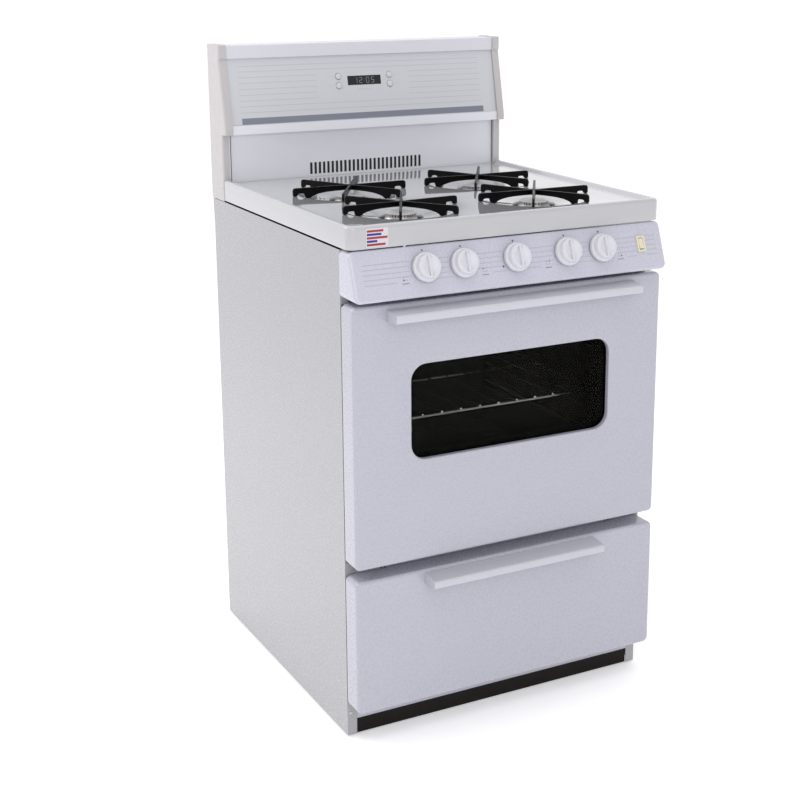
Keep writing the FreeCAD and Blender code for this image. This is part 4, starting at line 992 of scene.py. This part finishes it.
def build_handle(name, half, top, body, replaced):
    """A pull with a gently falling top, a short front lip and a hollow underneath."""
    front = -0.338
    back = FRONT - 0.0001
    end_wall = 0.003
    outer = [(back, top - 0.021), (back, top), (-0.333, top - 0.0026), (-0.3364, top - 0.0034),
             (-0.3378, top - 0.0052), (front, top - 0.007), (front, top - 0.0145), (-0.3372, top - 0.0166),
             (-0.335, top - 0.0176)]
    pocket = [(-0.3052, top - 0.0204), (-0.3052, top - 0.0038), (-0.3315, top - 0.0062),
              (-0.3345, top - 0.0092), (-0.3330, top - 0.0178)]
    mesh = bmesh.new()
    ends = [[mesh.verts.new((x, y, z)) for y, z in outer] for x in (-half, half)]
    hollow = [[mesh.verts.new((x, y, z)) for y, z in pocket] for x in (-half + end_wall, half - end_wall)]
    for ring in ends + hollow:
        mesh.faces.new(ring)
    join_rings(mesh, ends, closed=False)
    join_rings(mesh, hollow, closed=False)
    rear, lip = 0, -1
    border = [ends[0][rear], ends[1][rear], ends[1][lip], ends[0][lip]]
    mouth = [hollow[0][rear], hollow[1][rear], hollow[1][lip], hollow[0][lip]]
    join_rings(mesh, [border, mouth])
    piece(name, mesh, "handle_plastic", body, [replaced], smooth=40, bevel=0.0008,
          segments=3)


build_handle("door_pull", 0.242, 0.774, "door", "door_handle")
build_handle("drawer_pull", 0.174, 0.300, "drawer", "drawer_handle")


def build_gap_shade():
    """A black sheet in the gap under the control panel: painted shade for the gap."""
    mesh = bmesh.new()
    slab(mesh, (-0.2895, 0.2895), (BODY_FRONT - 0.0006, BODY_FRONT - 0.0001), (0.7832, 0.7905))
    piece("panel_gap_shade", mesh, "black_ink_and_shade", "range")


def build_screws():
    """Domed screw heads: under the control panel, at the foot of the front, and on the rear panel."""
    mesh = bmesh.new()
    dome = mm([(0, 1.5), (1.3, 1.4), (2.3, 1.0), (2.8, 0.3), (2.8, 0)])
    front = [(-0.215, BODY_FRONT - 0.0006, 0.787), (0.240, BODY_FRONT - 0.0006, 0.787),
             (-0.298, BODY_FRONT - 0.0001, 0.045), (0.298, BODY_FRONT - 0.0001, 0.045)]
    rear_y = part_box("rear_panel")[1].y
    rear = [(x, rear_y, z) for x in (-0.284, 0.284) for z in (0.07, 0.33, 0.59, 0.85)]
    for places, turn in ((front, math.pi / 2), (rear, -math.pi / 2)):
        for place in places:
            stamp(mesh, Matrix.Translation(place) @ Matrix.Rotation(turn, 4, "X"), lathe, dome, 24)
    piece("sheet_screws", mesh, "zinc_steel", "range")


def build_frame_slot_shade():
    """Black patches on the front frame between the door and the drawer: painted shade for four short slots.
    """
    mesh = bmesh.new()
    half = 0.0013
    for x in (-0.236, -0.229, 0.229, 0.236):
        slab(mesh, (x - half, x + half), (BODY_FRONT - 0.0003, BODY_FRONT), (0.3035, 0.3095))
    piece("frame_slot_shade", mesh, "black_ink_and_shade", "range")


def build_rivets():
    """One nearly flush rivet low on each end cap's outer side."""
    mesh = bmesh.new()
    head = mm([(0, 0.06), (1.2, 0.05), (1.4, -0.3)])
    for side in (-1, 1):
        place = Matrix.Translation((0.305 * side, 0.281, 0.897))
        stamp(mesh, place @ Matrix.Rotation(side * math.pi / 2, 4, "Y"), lathe, head, 24)
    piece("end_cap_rivets", mesh, "dark_grey_and_gap_shade", "range")


def build_bumper():
    """The pale stub under the cooktop's front edge."""
    mesh = bmesh.new()
    stub = mm([(0, 872.4), (1.6, 872.6), (2.2, 873.4), (2.2, 875.2)])
    lathe(mesh, stub, 24, (-0.203, top_low.y + 0.0028))
    piece("cooktop_bumper", mesh, "label_white", "cooktop")


build_gap_shade()
build_screws()
build_frame_slot_shade()
build_rivets()
build_bumper()


def build_guard_details():
    """A black sheet behind the vents, painted shade for the dark inside of the backguard; dark strips,
    painted gap shade, at the vent wall's edges; and lighter beads on the end caps that paint in the
    highlight of their edges.
    """
    mesh = bmesh.new()
    slab(mesh, (-0.135, 0.135), (0.2823, 0.2833), (0.905, 0.945))
    piece("vent_painted_shade", mesh, "black_ink_and_shade", "range")
    # Dark strips where the vent wall meets the end caps: painted shade for the gaps.
    edge_shade_strips = bmesh.new()
    for x in ((-0.2886, -0.2849), (0.2874, 0.2886)):
        slab(edge_shade_strips, x, (0.28085, 0.2812), (0.9085, 0.9995))
    piece("vent_wall_edge_shade_strips", edge_shade_strips, "dark_grey_and_gap_shade", "range")
    # Rounded beads at the columns' front edges, in a lighter plastic than the caps: partly real beads,
    # partly a painted highlight on those edges.
    highlight_beads = bmesh.new()
    for side in (-1, 1):
        slab(highlight_beads, sorted((0.2893 * side, 0.2917 * side)), (0.2727, 0.2741), (0.9150, 0.9975))
    piece("end_cap_highlight_beads", highlight_beads, "knob_plastic", "range", bevel=0.0007)


build_guard_details()
